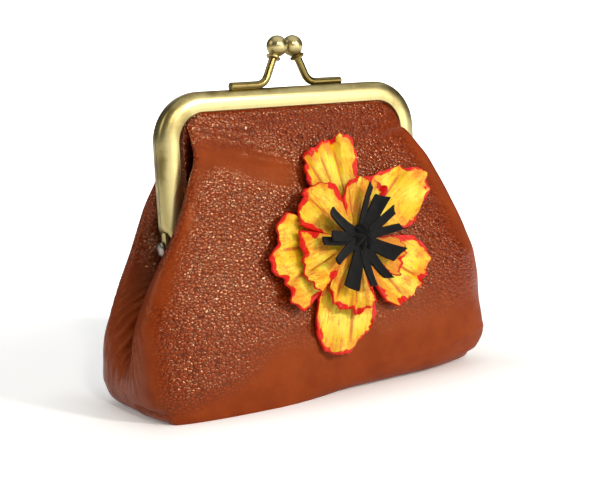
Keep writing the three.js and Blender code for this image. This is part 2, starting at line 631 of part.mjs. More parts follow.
// Five petals cut in one with their middle.
function petalLayer(petals, seat) {
  const disc = new THREE.CylinderGeometry(PETAL_DISC, PETAL_DISC, PETAL_LEATHER, DISC_SIDES);
  disc.rotateX(Math.PI / 2);
  disc.translate(0, 0, seat + PETAL_LEATHER / 2);
  return union([solidOf(disc), ...petals.map((petal) => petalSolid(petal, seat))]);
}

// One row for each black strip of the fringe: its direction, length, width at the tip, and rise.
const STAMENS = [
  { turn: 78, length: 18, tip: 2.0, rise: 4.4 },
  { turn: 51, length: 16, tip: 4.6, rise: 3.4 },
  { turn: 27, length: 14.5, tip: 3.0, rise: 4.4 },
  { turn: 10, length: 15, tip: 2.6, rise: 3.0 },
  { turn: -38, length: 14, tip: 5.2, rise: 3.2 },
  { turn: -80, length: 16, tip: 2.6, rise: 3.6 },
  { turn: -101, length: 17.5, tip: 3.0, rise: 4.0 },
  { turn: -118, length: 20, tip: 4.4, rise: 3.0 },
  { turn: -158, length: 16.5, tip: 2.8, rise: 4.0 },
  { turn: -176, length: 18, tip: 3.0, rise: 3.0 },
  { turn: 172, length: 15.5, tip: 3.2, rise: 5.0 },
  { turn: 148, length: 16.5, tip: 5.0, rise: 4.0 },
];
const STRIP = { thick: 1.1, foot: 1.6, start: 0.5, base: 1.8, steps: 3 };
const KNOT = { radius: 3.4, top: 2.4, height: 5, sides: 12 }; // the pinched middle of the fringe

function stamenStrip(row) {
  const turn = new THREE.Matrix4().makeRotationZ(THREE.MathUtils.degToRad(row.turn));
  const side = (drop) =>
    Array.from({ length: STRIP.steps + 1 }, (_, i) => {
      const t = i / STRIP.steps;
      const half = (STRIP.base + (row.tip - STRIP.base) * t) / 2;
      const reach = STRIP.start + (row.length - STRIP.start) * t;
      const height = STAMEN_SEAT + STRIP.foot + STRIP.thick - drop + row.rise * t * t;
      return [-half, half].map((y) => new THREE.Vector3(reach, y, height).applyMatrix4(turn));
    });
  return sheet(side(0), side(STRIP.thick));
}

function stamens() {
  const knot = new THREE.CylinderGeometry(KNOT.top, KNOT.radius, KNOT.height, KNOT.sides);
  knot.rotateX(Math.PI / 2);
  knot.translate(0, 0, STAMEN_SEAT + KNOT.height / 2);
  return union([solidOf(knot), ...STAMENS.map(stamenStrip)]);
}

// Assembly

const LEATHER_FINISH = { color: 0x8f3f1c, roughness: 0.42, metalness: 0 };
const BRASS_FINISH = { color: 0xb59a55, roughness: 0.36, metalness: 1 };
const STEEL_FINISH = { color: 0x8d8578, roughness: 0.3, metalness: 1 };
const PETAL_FINISH = { color: 0xf0b020, roughness: 0.5, metalness: 0 };
const SUEDE_FINISH = { color: 0x141414, roughness: 0.9, metalness: 0 };

function piece(name, shape, finish) {
  const geometry = shape.isBufferGeometry ? shape : geometryOf(shape);
  const mesh = new THREE.Mesh(geometry, new THREE.MeshStandardMaterial(finish));
  mesh.name = name;
  return mesh;
}

const purse = new THREE.Group();
const [frontPanel, backPanel] = panels();
purse.add(piece("front_panel", frontPanel, LEATHER_FINISH));
purse.add(piece("back_panel", backPanel, LEATHER_FINISH));

for (const [name, side] of [["front", -1], ["back", 1]]) {
  purse.add(piece(`${name}_rail`, rail(side), BRASS_FINISH));
  const knob = piece(`${name}_ball`, ball(), BRASS_FINISH);
  knob.position.copy(ballMiddle(side));
  knob.quaternion.setFromUnitVectors(new THREE.Vector3(0, 1, 0), postDirection(side));
  purse.add(knob);
}

for (const [name, hand] of [["left", -1], ["right", 1]]) {
  const pin = piece(`${name}_rivet`, rivet(), STEEL_FINISH);
  pin.position.z = HINGE_HEIGHT;
  pin.rotation.z = (-hand * Math.PI) / 2;
  purse.add(pin);
}

// The flower lies on the tangent plane of the front at its place.
function flowerFrame() {
  const { x, z } = FLOWER_PLACE;
  const step = 4;
  const at = (px, pz) => new THREE.Vector3(px, -frontDepth(px, pz), pz);
  const right = at(x + step, z).sub(at(x - step, z)).normalize();
  const up = at(x, z + step).sub(at(x, z - step)).normalize();
  const out = right.clone().cross(up).normalize();
  return new THREE.Matrix4().makeBasis(right, out.clone().cross(right), out).setPosition(at(x, z));
}

const flower = new THREE.Group();
flower.applyMatrix4(flowerFrame());
flower.add(piece("outer_petals", petalLayer(OUTER_PETALS, OUTER_SEAT), PETAL_FINISH));
flower.add(piece("inner_petals", petalLayer(INNER_PETALS, INNER_SEAT), PETAL_FINISH));
flower.add(piece("stamens", stamens(), SUEDE_FINISH));
purse.add(flower);

export default purse;
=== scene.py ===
import math

import bmesh
import bpy
import numpy as np
from mathutils import Matrix, Vector, noise


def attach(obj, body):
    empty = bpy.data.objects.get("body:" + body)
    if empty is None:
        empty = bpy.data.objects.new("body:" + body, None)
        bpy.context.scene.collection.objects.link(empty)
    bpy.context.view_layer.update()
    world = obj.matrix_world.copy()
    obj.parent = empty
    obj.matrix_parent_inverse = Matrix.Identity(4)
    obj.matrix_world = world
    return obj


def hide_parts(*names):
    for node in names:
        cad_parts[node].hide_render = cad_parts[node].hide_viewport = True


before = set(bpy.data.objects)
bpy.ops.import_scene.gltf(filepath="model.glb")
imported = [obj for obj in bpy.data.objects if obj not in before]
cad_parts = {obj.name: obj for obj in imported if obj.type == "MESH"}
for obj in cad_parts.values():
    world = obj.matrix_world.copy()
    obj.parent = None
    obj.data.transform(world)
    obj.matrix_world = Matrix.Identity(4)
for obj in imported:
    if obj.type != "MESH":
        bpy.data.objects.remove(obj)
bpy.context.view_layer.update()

# Leather pouch. Soft chestnut leather with a pebbled grain, in a front and a back that are sewn together
# below the hinges and boxed at the base. Its upper edge is pressed into the channels of the frame, so it
# gathers and puckers below the frame's corners.

MM = 0.001  # sizes are in millimetres, unless they are given in MM, and meshes are in metres
CLEARANCE = 0.3
FRAME_WIDTH = 105
FRAME_TOP = 106.6
CORNER_RADIUS = 17
RAIL_DEPTH = 4.6
RAIL_FACE = 7
RAIL_SHEET = 0.8
LEATHER = 1.4
CORNER_X = FRAME_WIDTH / 2 - CORNER_RADIUS
CORNER_Z = FRAME_TOP - CORNER_RADIUS
SLOT_DEPTH = RAIL_DEPTH - RAIL_SHEET - CLEARANCE
EDGE_TUCK = 2.8
LIP_CLEARANCE = 0.7
LIP_BOTTOM = FRAME_TOP - RAIL_FACE - LIP_CLEARANCE
LIP_TURN = 1.3
LIP_REACH = 10

# The leather's outside at each level: how far its front reaches to the left and to the right and its back
# to either side, half of its depth at the middle, the depth at which its side lobes are widest, the half
# width at the bottom of the side fold, and how square its front corners are.
LEVELS = [
    dict(z=98, left=44.0, right=44.5, back=44.5, depth=4.2, lobe=3.7, fold=46.0, square=2.2),
    dict(z=92, left=42.0, right=44.6, back=44.2, depth=7.6, lobe=5.0, fold=46.0, square=2.2),
    dict(z=86, left=42.2, right=48.0, back=45.4, depth=10.6, lobe=7.2, fold=46.0, square=2.3),
    dict(z=78, left=45.4, right=53.4, back=48.5, depth=13.6, lobe=9.4, fold=46.0, square=2.4),
    dict(z=68, left=49.8, right=58.6, back=53.2, depth=16.9, lobe=11.0, fold=46.0, square=2.5),
    dict(z=59, left=54.8, right=62.6, back=56.3, depth=19.8, lobe=12.0, fold=44.0, square=2.5),
    dict(z=50, left=60.5, right=66.2, back=59.6, depth=22.4, lobe=12.6, fold=43.0, square=2.6),
    dict(z=41, left=65.6, right=69.0, back=63.4, depth=24.6, lobe=12.8, fold=46.0, square=2.8),
    dict(z=32, left=69.2, right=69.5, back=66.8, depth=26.4, lobe=12.4, fold=52.0, square=3.1),
    dict(z=24, left=70.4, right=69.4, back=69.4, depth=27.4, lobe=11.4, fold=60.0, square=3.4),
    dict(z=16, left=70.6, right=69.4, back=70.2, depth=27.8, lobe=10.0, fold=68.4, square=4.2),
    dict(z=9, left=70.4, right=70.2, back=70.2, depth=27.8, lobe=9.0, fold=70.0, square=5.0),
    dict(z=0, left=70.4, right=70.2, back=70.2, depth=27.8, lobe=8.0, fold=70.0, square=5.0),
]
# How far the rounded bottom edge draws the leather in. The left half of the front's edge is boxed.
BASE_EDGE = [
    dict(z=9.0, inset=0.0),
    dict(z=4.0, inset=2.2),
    dict(z=1.2, inset=5.6),
    dict(z=0.0, inset=10.0),
]
BOXED = dict(share=0.95, start=-72, full=-64, fade=-28, end=24)
FULL_END = dict(share=0.32, start=-50, full=-66)  # the left end stands squarer on its foot
ROUND_END = dict(taller=0.34, deeper=0.3, start=30, full=66)  # the right end's foot is rounder
# How far the pucker between the frame and the side lobe draws the leather inwards and back.
PUCKER = [
    dict(z=97, inwards=0.0, back=0.0),
    dict(z=92, inwards=1.0, back=1.0),
    dict(z=86, inwards=4.0, back=5.4),
    dict(z=80, inwards=4.4, back=6.0),
    dict(z=72, inwards=2.6, back=4.0),
    dict(z=64, inwards=0.8, back=1.6),
    dict(z=58, inwards=0.0, back=0.0),
]
# Broad soft folds on both sides of the pouch, and sharper creases in the leather, each along a line from
# one end to the other, with how far it spreads and how high it stands.
FOLD_FADE = 0.7
FOLDS = [
    dict(x0=-41, z0=83, x1=-8, z1=76, reach=6.5, height=1.2),
    dict(x0=-41, z0=93, x1=-18, z1=87, reach=4.5, height=-0.8),
    dict(x0=44, z0=86, x1=22, z1=82, reach=6.5, height=1.2),
    dict(x0=-58, z0=40, x1=-40, z1=22, reach=8.0, height=0.8),
    dict(x0=60, z0=42, x1=48, z1=24, reach=8.0, height=0.8),
]
CREASES = [
    dict(x0=-44, z0=97.0, x1=-20, z1=93.0, reach=0.7, height=-0.60),
    dict(x0=-44, z0=95.4, x1=-24, z1=90.4, reach=0.7, height=-0.70),
    dict(x0=-44, z0=93.6, x1=-26, z1=87.8, reach=0.7, height=-0.75),
    dict(x0=-44, z0=91.8, x1=-32, z1=88.2, reach=0.7, height=-0.70),
    dict(x0=-43, z0=90.0, x1=-36, z1=87.6, reach=0.7, height=-0.60),
    dict(x0=-24, z0=88.4, x1=-6, z1=83.6, reach=0.7, height=-0.45),
    dict(x0=-22, z0=85.8, x1=-2, z1=80.8, reach=0.7, height=-0.45),
    dict(x0=-28, z0=84.0, x1=-4, z1=79.5, reach=1.2, height=-0.30),
    dict(x0=44, z0=95.5, x1=30, z1=92.5, reach=0.9, height=-0.35),
    dict(x0=45, z0=91.5, x1=33, z1=88.5, reach=1.0, height=-0.40),
    dict(x0=-6, z0=27.0, x1=2, z1=22.0, reach=1.0, height=-0.25),
    dict(x0=-8, z0=24.5, x1=1, z1=19.5, reach=1.0, height=-0.25),
]
SEWN_BELOW = dict(top=59.5, full=53.5)  # the leather leaves the channels and meets in the side seam here
PUCKER_SHAPE = dict(scale=27 / 4, power=1.5)  # deepest two thirds of the way from the seam to the lobe
SIDE_BULGE = 1.5  # how soon the side swells out from the seam
LEAST_LOBE = 0.1  # a lobe is at least this much deeper than the edge that it starts from

FLAT_ROWS = 3
WALL_ROWS = 128
EDGE_ROWS = 26
EDGE_START = 10  # below this height the rows crowd together round the bottom edge
EDGE_CROWDING = 1.6
ARC_STEPS = 400
TUCK_COLUMNS = 4
SIDE_COLUMNS = 30
FRONT_COLUMNS = 84
BASE_ROWS = 12
INSIDE_STEP = 4  # the unseen inside has one row and column for this many of the outside


def smoothstep(start, end, value):
    """0 before the start, 1 past the end, and smooth between them."""
    share = np.clip((value - start) / (end - start), 0, 1)
    return share * share * (3 - 2 * share)


def ramp(row, value):
    return smoothstep(row["start"], row["full"], value)


def curve_through(rows, key, column):
    """A smooth curve through one column of a table, which doesn't overshoot its rows."""
    ordered = sorted(rows, key=lambda row: row[key])
    places = np.array([row[key] for row in ordered], float)
    values = np.array([row[column] for row in ordered], float)
    slopes = np.diff(values) / np.diff(places)
    inner = np.zeros(len(places) - 2)
    rising = slopes[:-1] * slopes[1:] > 0
    inner[rising] = (2 * slopes[:-1] * slopes[1:] / np.where(rising, slopes[:-1] + slopes[1:], 1))[rising]
    tangents = np.concatenate([slopes[:1], inner, slopes[-1:]])

    def curve(place):
        place = np.clip(place, places[0], places[-1])
        i = np.clip(np.searchsorted(places, place, side="right") - 1, 0, len(slopes) - 1)
        width = places[i + 1] - places[i]
        t = (place - places[i]) / width
        return (
            (2 * t**3 - 3 * t**2 + 1) * values[i]
            + (t**3 - 2 * t**2 + t) * width * tangents[i]
            + (3 * t**2 - 2 * t**3) * values[i + 1]
            + (t**3 - t**2) * width * tangents[i + 1]
        )

    return curve


level = {column: curve_through(LEVELS, "z", column) for column in LEVELS[0] if column != "z"}
base_inset = curve_through(BASE_EDGE, "z", "inset")
pucker_in = curve_through(PUCKER, "z", "inwards")
pucker_back = curve_through(PUCKER, "z", "back")


def frame_half(z, inset):
    """Half width of the frame's outline at a height, drawn in by some distance."""
    radius = CORNER_RADIUS - inset
    rise = np.maximum(0, z - CORNER_Z)
    return CORNER_X + np.sqrt(np.maximum(0, radius * radius - rise * rise))


def lobe_half(z, face, hand):
    side = "left" if hand < 0 else "right"
    half = level[side if face < 0 else "back"](z)
    inside_corner = np.minimum(half, frame_half(z, RAIL_FACE + LIP_CLEARANCE) - CLEARANCE)
    return np.where(z > CORNER_Z, inside_corner, half)


def line_heights(rows, x, z, fade=0.0):
    """How far folds or creases along lines raise the leather at each place."""
    height = np.zeros_like(x)
    for row in rows:
        run = np.array([row["x1"] - row["x0"], row["z1"] - row["z0"]])
        share = ((x - row["x0"]) * run[0] + (z - row["z0"]) * run[1]) / (run @ run)
        share = np.clip(share, 0, 1)
        away = np.hypot(x - row["x0"] - share * run[0], z - row["z0"] - share * run[1])
        height += row["height"] * np.exp(-((away / row["reach"]) ** 2)) * (1 - fade * share)
    return height


def half_wall(z, face, hand):
    """Distance across, depth, and share of the way out to the middle, for each row of half a side."""
    z = z[:, None]
    sewn = 1 - smoothstep(SEWN_BELOW["full"], SEWN_BELOW["top"], z)
    lip = frame_half(z, RAIL_FACE + LIP_CLEARANCE)
    turned_out = LIP_TURN * np.clip((LIP_BOTTOM - z) / LIP_REACH, 0, 1)
    start_across = lip + (level["fold"](z) - lip) * sewn
    start_depth = (SLOT_DEPTH + turned_out) * (1 - sewn)
    lobe_across = lobe_half(z, face, hand)
    lobe_depth = np.maximum(level["lobe"](z), start_depth + LEAST_LOBE)
    middle_depth = level["depth"](z)

    t = np.linspace(0, 1, TUCK_COLUMNS + 1)[:-1]
    edge = frame_half(z, EDGE_TUCK)
    tuck_across = start_across + (edge - start_across) * (1 - t) * (1 - sewn)
    tuck_depth = start_depth + (SLOT_DEPTH - start_depth) * (1 - sewn) * np.ones_like(t)

    t = np.linspace(0, 1, SIDE_COLUMNS + 1)[:-1]
    drawn = (PUCKER_SHAPE["scale"] * t * t * (1 - t)) ** PUCKER_SHAPE["power"] * (1 - sewn)
    side_across = start_across + (lobe_across - start_across) * t * t * (3 - 2 * t)
    side_across = side_across - pucker_in(z) * drawn
    side_depth = start_depth + (lobe_depth - start_depth) * (SIDE_BULGE * t * (1 - t) + t**3)
    side_depth = side_depth - pucker_back(z) * drawn

    angle = np.linspace(0, math.pi / 2, ARC_STEPS)
    power = 2 / level["square"](z)
    fine_out = np.sin(angle) ** power
    fine_across = lobe_across * np.maximum(np.cos(angle), 0) ** power
    fine_depth = lobe_depth + (middle_depth - lobe_depth) * fine_out
    steps = np.hypot(np.diff(fine_across), np.diff(fine_depth))
    run = np.concatenate([np.zeros_like(z), np.cumsum(steps, axis=1)], axis=1)
    even = np.linspace(0, 1, FRONT_COLUMNS + 1)
    front = [
        np.stack([np.interp(even * run[r, -1], run[r], values[r]) for r in range(len(z))])
        for values in (fine_across, fine_depth, fine_out)
    ]
    none = np.zeros((len(z), TUCK_COLUMNS + SIDE_COLUMNS))
    across = np.concatenate([tuck_across, side_across, front[0]], axis=1)
    depth = np.concatenate([tuck_depth, side_depth, front[1]], axis=1)
    return across, depth, np.concatenate([none, front[2]], axis=1)


def foot_inset(x, height, out, face):
    """How far the bottom edge draws the leather in at each place."""
    rounder = ramp(ROUND_END, x)
    inset = base_inset(height * (1 - ROUND_END["taller"] * rounder))
    inset = inset * (1 + ROUND_END["deeper"] * rounder) * (1 - FULL_END["share"] * ramp(FULL_END, x))
    if face < 0:
        boxed = ramp(BOXED, x) - smoothstep(BOXED["fade"], BOXED["end"], x)
        inset = inset * (1 - BOXED["share"] * boxed * out)
    return inset


def side_wall(face):
    """Points of one side's outside, from its top edge down, and how far out each is to the middle."""
    z = np.concatenate([
        np.linspace(LIP_BOTTOM - CLEARANCE, EDGE_START, WALL_ROWS, endpoint=False),
        EDGE_START * np.linspace(1, 0, EDGE_ROWS) ** EDGE_CROWDING,
    ])
    halves = []
    for hand in (-1, 1):
        across, depth, out = half_wall(z, face, hand)
        x = hand * across
        height = z[:, None] * np.ones_like(x)
        inset = foot_inset(x, height, out, face)
        depth = depth + out * line_heights(FOLDS, x, height, FOLD_FADE)
        depth = depth * (1 - inset / level["depth"](height))
        x = x * (1 - inset / level["back"](height))
        halves.append((np.stack([x, face * depth, height], axis=-1), out))
    (left, left_out), (right, right_out) = halves
    points = np.concatenate([left, right[:, -2::-1]], axis=1)
    out = np.concatenate([left_out, right_out[:, -2::-1]], axis=1)
    # Flat rows, tucked up into the top channel.
    top = points[0]
    flat = []
    for height in np.linspace(FRAME_TOP - EDGE_TUCK, LIP_BOTTOM, FLAT_ROWS):
        scale = frame_half(height, EDGE_TUCK) / frame_half(LIP_BOTTOM, EDGE_TUCK)
        row = np.tile([0.0, face * SLOT_DEPTH, height], (len(top), 1))
        row[:, 0] = top[:, 0] * scale
        flat.append(row)
    points = np.concatenate([np.stack(flat), points])
    out = np.concatenate([np.zeros((FLAT_ROWS, out.shape[1])), out])
    return points, out


NO_LENGTH = 1e-9


def outward(points, face):
    """Directions away from the inside, at each point of a side's outside."""
    across = np.gradient(points, axis=1)
    down = np.gradient(points, axis=0)
    normal = -face * np.cross(down, across)
    length = np.linalg.norm(normal, axis=-1, keepdims=True)
    return normal / np.maximum(length, NO_LENGTH)


def soft_noise(points, size):
    """Even, repeatable unevenness from -1 to 1 with lumps of some size."""
    flat = points.reshape(-1, 3) / size
    values = np.array([noise.noise(Vector(place)) for place in flat])
    return values.reshape(points.shape[:-1])


# The boxed corner's seam runs along the foot of each side, fine wrinkles cross the fold under the frame, and
# gathers fan down from the side fold. A value named out is a share of the way from a lobe to the middle.
CREASED_OUT = 0.3
CORNER_SEAM = dict(
    z=4.0, reach=0.9, height=-1.3, front=-27, full=-17, fade=-9, back=-3, out=0.7, end_out=0.95
)
WRINKLES = dict(spacing=2.4, height=2.4, waver=3, waver_size=5, top=95, full=90, fade=54, end=42)
GATHERS = dict(
    y=-3, z=56, spacing=0.085, height=0.42, waver=2.5, waver_size=9,
    top=46, full=38, fade=20, end=6, out=0.1, end_out=0.35,
)
LUMPS = [dict(size=17, height=0.35), dict(size=7, height=0.12)]
SEAM_FADE = 6  # the details fade out over this many columns towards the side seam and the channels
FRAME_FADE = 5


def from_seam(points):
    """How many columns each place is from the side seam, past the leather in the channels."""
    column = np.arange(points.shape[1])
    return np.minimum(column, column[::-1]) - TUCK_COLUMNS


def in_band(row, z):
    """1 between a row's full and fade heights, and 0 over its top and under its end."""
    return smoothstep(row["top"], row["full"], z) * smoothstep(row["end"], row["fade"], z)


def leather_details(points, out):
    """How far creases, lumps, the corner's seam, wrinkles and gathers raise the leather."""
    x, y, z = np.moveaxis(points, -1, 0)
    height = line_heights(CREASES, x, z) * smoothstep(0, CREASED_OUT, out)
    for lump in LUMPS:
        height = height + lump["height"] * soft_noise(points, lump["size"])
    seam = np.exp(-(((z - CORNER_SEAM["z"]) / CORNER_SEAM["reach"]) ** 2))
    seam = seam * (1 - smoothstep(CORNER_SEAM["out"], CORNER_SEAM["end_out"], out))
    seam = seam * smoothstep(CORNER_SEAM["front"], CORNER_SEAM["full"], y)
    seam = seam * smoothstep(CORNER_SEAM["back"], CORNER_SEAM["fade"], y)
    height = height + CORNER_SEAM["height"] * seam
    across_gap = np.clip(from_seam(points) / SIDE_COLUMNS, 0, 1)
    waver = WRINKLES["waver"] * soft_noise(points, WRINKLES["waver_size"])
    wrinkle = np.sin(2 * math.pi * z / WRINKLES["spacing"] + waver) * across_gap * (1 - across_gap) ** 2
    height = height + WRINKLES["height"] * wrinkle * in_band(WRINKLES, z)
    swing = np.arctan2(y - GATHERS["y"], GATHERS["z"] - z)
    waver = GATHERS["waver"] * soft_noise(points, GATHERS["waver_size"])
    ripple = np.sin(2 * math.pi * swing / GATHERS["spacing"] + waver) * in_band(GATHERS, z)
    height = height + GATHERS["height"] * ripple * (1 - smoothstep(GATHERS["out"], GATHERS["end_out"], out))
    clear_of_frame = smoothstep(LIP_BOTTOM, LIP_BOTTOM - FRAME_FADE, z)
    return height * clear_of_frame * smoothstep(0, SEAM_FADE, from_seam(points))


# Leather that is stretched over a fold or a rolled edge is smooth: lines where the pebbles fade out, first
# along the edges of both sides, then on the front alone, which is under more strain.
SMOOTH_EDGES = [
    dict(x0=-69, z0=34, x1=-70, z1=4, reach=3.4, height=0.9),
    dict(x0=-45, z0=84, x1=-52, z1=66, reach=4.6, height=0.85),
    dict(x0=-52, z0=66, x1=-64, z1=42, reach=5.0, height=0.85),
    dict(x0=-60, z0=0, x1=72, z1=3, reach=5.0, height=0.9),
    dict(x0=48, z0=86, x1=70, z1=36, reach=5.5, height=1.0),
]
SMOOTH_FRONT = [
    dict(x0=-42, z0=87, x1=-14, z1=78, reach=6.5, height=0.82),
    dict(x0=-14, z0=78, x1=-2, z1=74, reach=6.0, height=0.35),
    dict(x0=-48, z0=0, x1=-20, z1=8, reach=9.0, height=0.7),
    dict(x0=-20, z0=8, x1=72, z1=16, reach=16.0, height=1.0),
    dict(x0=44, z0=95, x1=36, z1=88, reach=4.0, height=0.3),
]
BACK_STRETCH = 0.55
SIDE_GRAIN = dict(low=0.25, more=0.6, start=40, full=56, out=0.1, end_out=0.5)
BASE_GRAIN = 0.3


def grain_amount(points, out, face):
    """How pebbled the leather is at each place, from 0 where it is stretched smooth to 1."""
    x, _, z = np.moveaxis(points, -1, 0)
    if face < 0:
        smooth = line_heights(SMOOTH_EDGES + SMOOTH_FRONT, x, z)
    else:
        smooth = BACK_STRETCH * line_heights(SMOOTH_EDGES, x, z)
    side = 1 - smoothstep(SIDE_GRAIN["out"], SIDE_GRAIN["end_out"], out)
    side_grain = SIDE_GRAIN["low"] + SIDE_GRAIN["more"] * ramp(SIDE_GRAIN, z)
    return np.clip(1 - smooth, 0, 1) * (1 - side) + side * side_grain


# Painted shade: leather that lies deep in the side folds and puckers is painted darker, where shade falls
# there.
FOLD_PAINTED_SHADE = dict(deep=0.3, end=1.2, start=26, full=46)


def painted_fold_shade(points):
    """How much painted shade darkens each place deep in the side fold, from 0 on the outside to 1."""
    across_gap = from_seam(points) / SIDE_COLUMNS
    deep = 1 - smoothstep(FOLD_PAINTED_SHADE["deep"], FOLD_PAINTED_SHADE["end"], across_gap)
    return deep * ramp(FOLD_PAINTED_SHADE, points[..., 2])


def grid_faces(rows, columns, first=0, flip=False):
    """Corner numbers of the four-sided faces of a grid of points."""
    index = first + np.arange(rows * columns).reshape(rows, columns)
    corners = [index[:-1, :-1], index[1:, :-1], index[1:, 1:], index[:-1, 1:]]
    if flip:
        corners.reverse()
    return np.stack(corners, axis=-1).reshape(-1, 4)


def make_piece(name, points, faces, attributes=None):
    """A smooth-shaded mesh object from points in millimetres, with named values at its points."""
    mesh = bpy.data.meshes.new(name)
    mesh.from_pydata((np.asarray(points) * MM).tolist(), [], [list(map(int, face)) for face in faces])
    for label, values in (attributes or {}).items():
        values = np.asarray(values, float)
        kind = "FLOAT" if values.ndim == 1 else "FLOAT_VECTOR"
        layer = mesh.attributes.new(label, kind, "POINT")
        layer.data.foreach_set("value" if kind == "FLOAT" else "vector", values.ravel())
    mesh.shade_smooth()
    piece = bpy.data.objects.new(name, mesh)
    bpy.context.scene.collection.objects.link(piece)
    return piece


def weld(piece, distance=0.01):
    """Joins points that lie on each other, in millimetres, and drops the faces that this closes up."""
    work = bmesh.new()
    work.from_mesh(piece.data)
    bmesh.ops.remove_doubles(work, verts=work.verts, dist=distance * MM)
    bmesh.ops.recalc_face_normals(work, faces=work.faces)
    work.to_mesh(piece.data)
    work.free()


def grid_part(points, flip=False):
    """A grid of points as a plain list of them, with its faces."""
    rows, columns = points.shape[:2]
    return points.reshape(-1, 3), grid_faces(rows, columns, flip=flip)


def joined(parts):
    """One list of points and faces out of several."""
    points = []
    faces = []
    count = 0
    for part_points, part_faces in parts:
        points.append(part_points)
        faces += [[int(corner) + count for corner in face] for face in part_faces]
        count += len(part_points)
    return np.concatenate(points), faces


def base_between(feet):
    """The flat base, from the foot of the front to the foot of the back."""
    return feet[0] + (feet[1] - feet[0]) * np.linspace(0, 1, BASE_ROWS)[:, None, None]


def sewn_pouch():
    """Both sides and the base, and their inside one leather's thickness further in."""
    outside = []
    inside = []
    feet = []
    inside_feet = []
    # Values at the points: how pebbled the leather is, and how much painted shade darkens it in the folds.
    values = {"grain": [], "shade": []}
    for face in (-1, 1):
        wall, out = side_wall(face)
        normal = outward(wall, face)
        details = leather_details(wall, out)
        details[-1] = 0
        wall = wall + normal * details[..., None]
        wall[..., 2] = np.maximum(wall[..., 2], 0)
        outside.append(grid_part(wall, flip=face > 0))
        feet.append(wall[-1])
        values["grain"].append(grain_amount(wall, out, face).ravel())
        values["shade"].append(painted_fold_shade(wall).ravel())
        flesh_side = (wall - LEATHER * normal)[::INSIDE_STEP, ::INSIDE_STEP]
        flesh_side[..., 2] = np.maximum(flesh_side[..., 2], LEATHER)
        inside.append(grid_part(flesh_side, flip=face < 0))
        inside_feet.append(flesh_side[-1])
    base = grid_part(base_between(feet))
    values["grain"].append(np.full(len(base[0]), BASE_GRAIN))
    points, faces = joined([*outside, base, *inside, grid_part(base_between(inside_feet), flip=True)])
    for label, known in values.items():
        known = np.concatenate(known)
        values[label] = np.concatenate([known, np.zeros(len(points) - len(known))])
    return make_piece("pouch_leather", points, faces, values)


class Tone:
    """One socket among a material's nodes. Arithmetic on it adds Math nodes, and add() any other node."""

    def __init__(self, socket):
        self.socket = socket

    def add(self, kind, settings=None, output=0, **sockets):
        """Another node of some kind, with its settings and the values or links of its sockets."""
        node = self.socket.id_data.nodes.new("ShaderNode" + kind)
        for name, value in (settings or {}).items():
            setattr(node, name, value)
        set_sockets(node, **sockets)
        return Tone(node.outputs[output])

    def math(self, operation, first, second=0.0):
        return self.add("Math", {"operation": operation}, _0=first, _1=second)

    def __add__(self, other):
        return self.math("ADD", self, other)

    def __radd__(self, other):
        return self.math("ADD", other, self)

    def __sub__(self, other):
        return self.math("SUBTRACT", self, other)

    def __rsub__(self, other):
        return self.math("SUBTRACT", other, self)

    def __mul__(self, other):
        return self.math("MULTIPLY", self, other)

    def __rmul__(self, other):
        return self.math("MULTIPLY", other, self)

    def between(self, low, high):
        """0 where this is under low, 1 over high, and smooth between them."""
        return self.add("MapRange", {"interpolation_type": "SMOOTHSTEP"}, Value=self, _1=low, _2=high)

    def ramp(self, row):
        """0 where this is under a row's start, 1 over its full value, and smooth between them."""
        return self.between(row["start"], row["full"])

    def blend(self, low, high):
        """A colour that goes from low to high as this goes from 0 to 1."""
        return self.add("Mix", {"data_type": "RGBA"}, output=2, _0=self, _6=low, _7=high)

    def moved(self, other):
        return self.add("VectorMath", {"operation": "ADD"}, _0=self, _1=other)

    def scaled(self, factors):
        return self.add("VectorMath", {"operation": "MULTIPLY"}, _0=self, _1=factors)

    def noise(self, size, detail=2.0, roughness=0.5, output=0):
        """Soft random values in lumps of some size, from a place in metres."""
        sockets = dict(Vector=self, Scale=1 / size, Detail=detail, Roughness=roughness)
        return self.add("TexNoise", output=output, **sockets)


def connect(socket, value):
    if isinstance(value, Tone):
        socket.id_data.links.new(value.socket, socket)
    elif hasattr(value, "__len__") and len(value) == 3 and socket.type == "RGBA":
        socket.default_value = (*value, 1)
    else:
        socket.default_value = value


def set_sockets(node, **sockets):
    """Sets or links sockets by their names, with _ for a space, or by number after a leading _."""
    for name, value in sockets.items():
        key = int(name[1:]) if name[0] == "_" else name.replace("_", " ")
        connect(node.inputs[key], value)


def new_finish(name):
    """A material, and the place on its piece in metres."""
    material = bpy.data.materials.new(name)
    material.use_nodes = True
    place = material.node_tree.nodes.new("ShaderNodeTexCoord").outputs["Object"]
    return material, Tone(place)


def set_finish(material, **sockets):
    set_sockets(material.node_tree.nodes["Principled BSDF"], **sockets)


def point_value(place, label):
    return place.add("Attribute", {"attribute_name": label}, output=2)


# The grain's pebbles lie in cells that wander and are squashed a little. Broad patches are more or less worn.
PEBBLES = dict(
    size=1.2 * MM, wander=0.5 * MM, wander_size=1.6 * MM, squash=(0.85, 1, 1.12), dome=1.5, groove=0.26
)
PATCHES = dict(size=9 * MM, sway=0.9, bare=-0.1, slack=1.1, worn=0.35, fresh=0.65, gloss=0.1)
TILT_SIZE = 2.6 * MM
PORE_SIZE = 0.5 * MM
GRAIN_HEIGHT = dict(dome=0.30, groove=0.10, tilt=0.2, slack_tilt=0.70, pores=0.05, bump=0.45 * MM)
PEBBLE_GLOSS = dict(roughness=0.22, specular=0.50)
STRETCHED_GLOSS = dict(roughness=0.6, specular=0.3)
PAINTED_SHADE_SHARE = 0.85
CHESTNUT = (0.212, 0.0245, 0.002)
CHESTNUT_DARK = (0.075, 0.006, 0.001)
CHESTNUT_STRETCHED = (0.215, 0.031, 0.003)
CHESTNUT_WORN = (0.170, 0.021, 0.002)
# painted shade for the leather deep in the side folds and puckers
CHESTNUT_PAINTED_SHADE = (0.030, 0.004, 0.002)
PEBBLE_GLINT = (1.0, 0.67, 0.41)
STRETCHED_GLINT = (1.0, 0.66, 0.34)


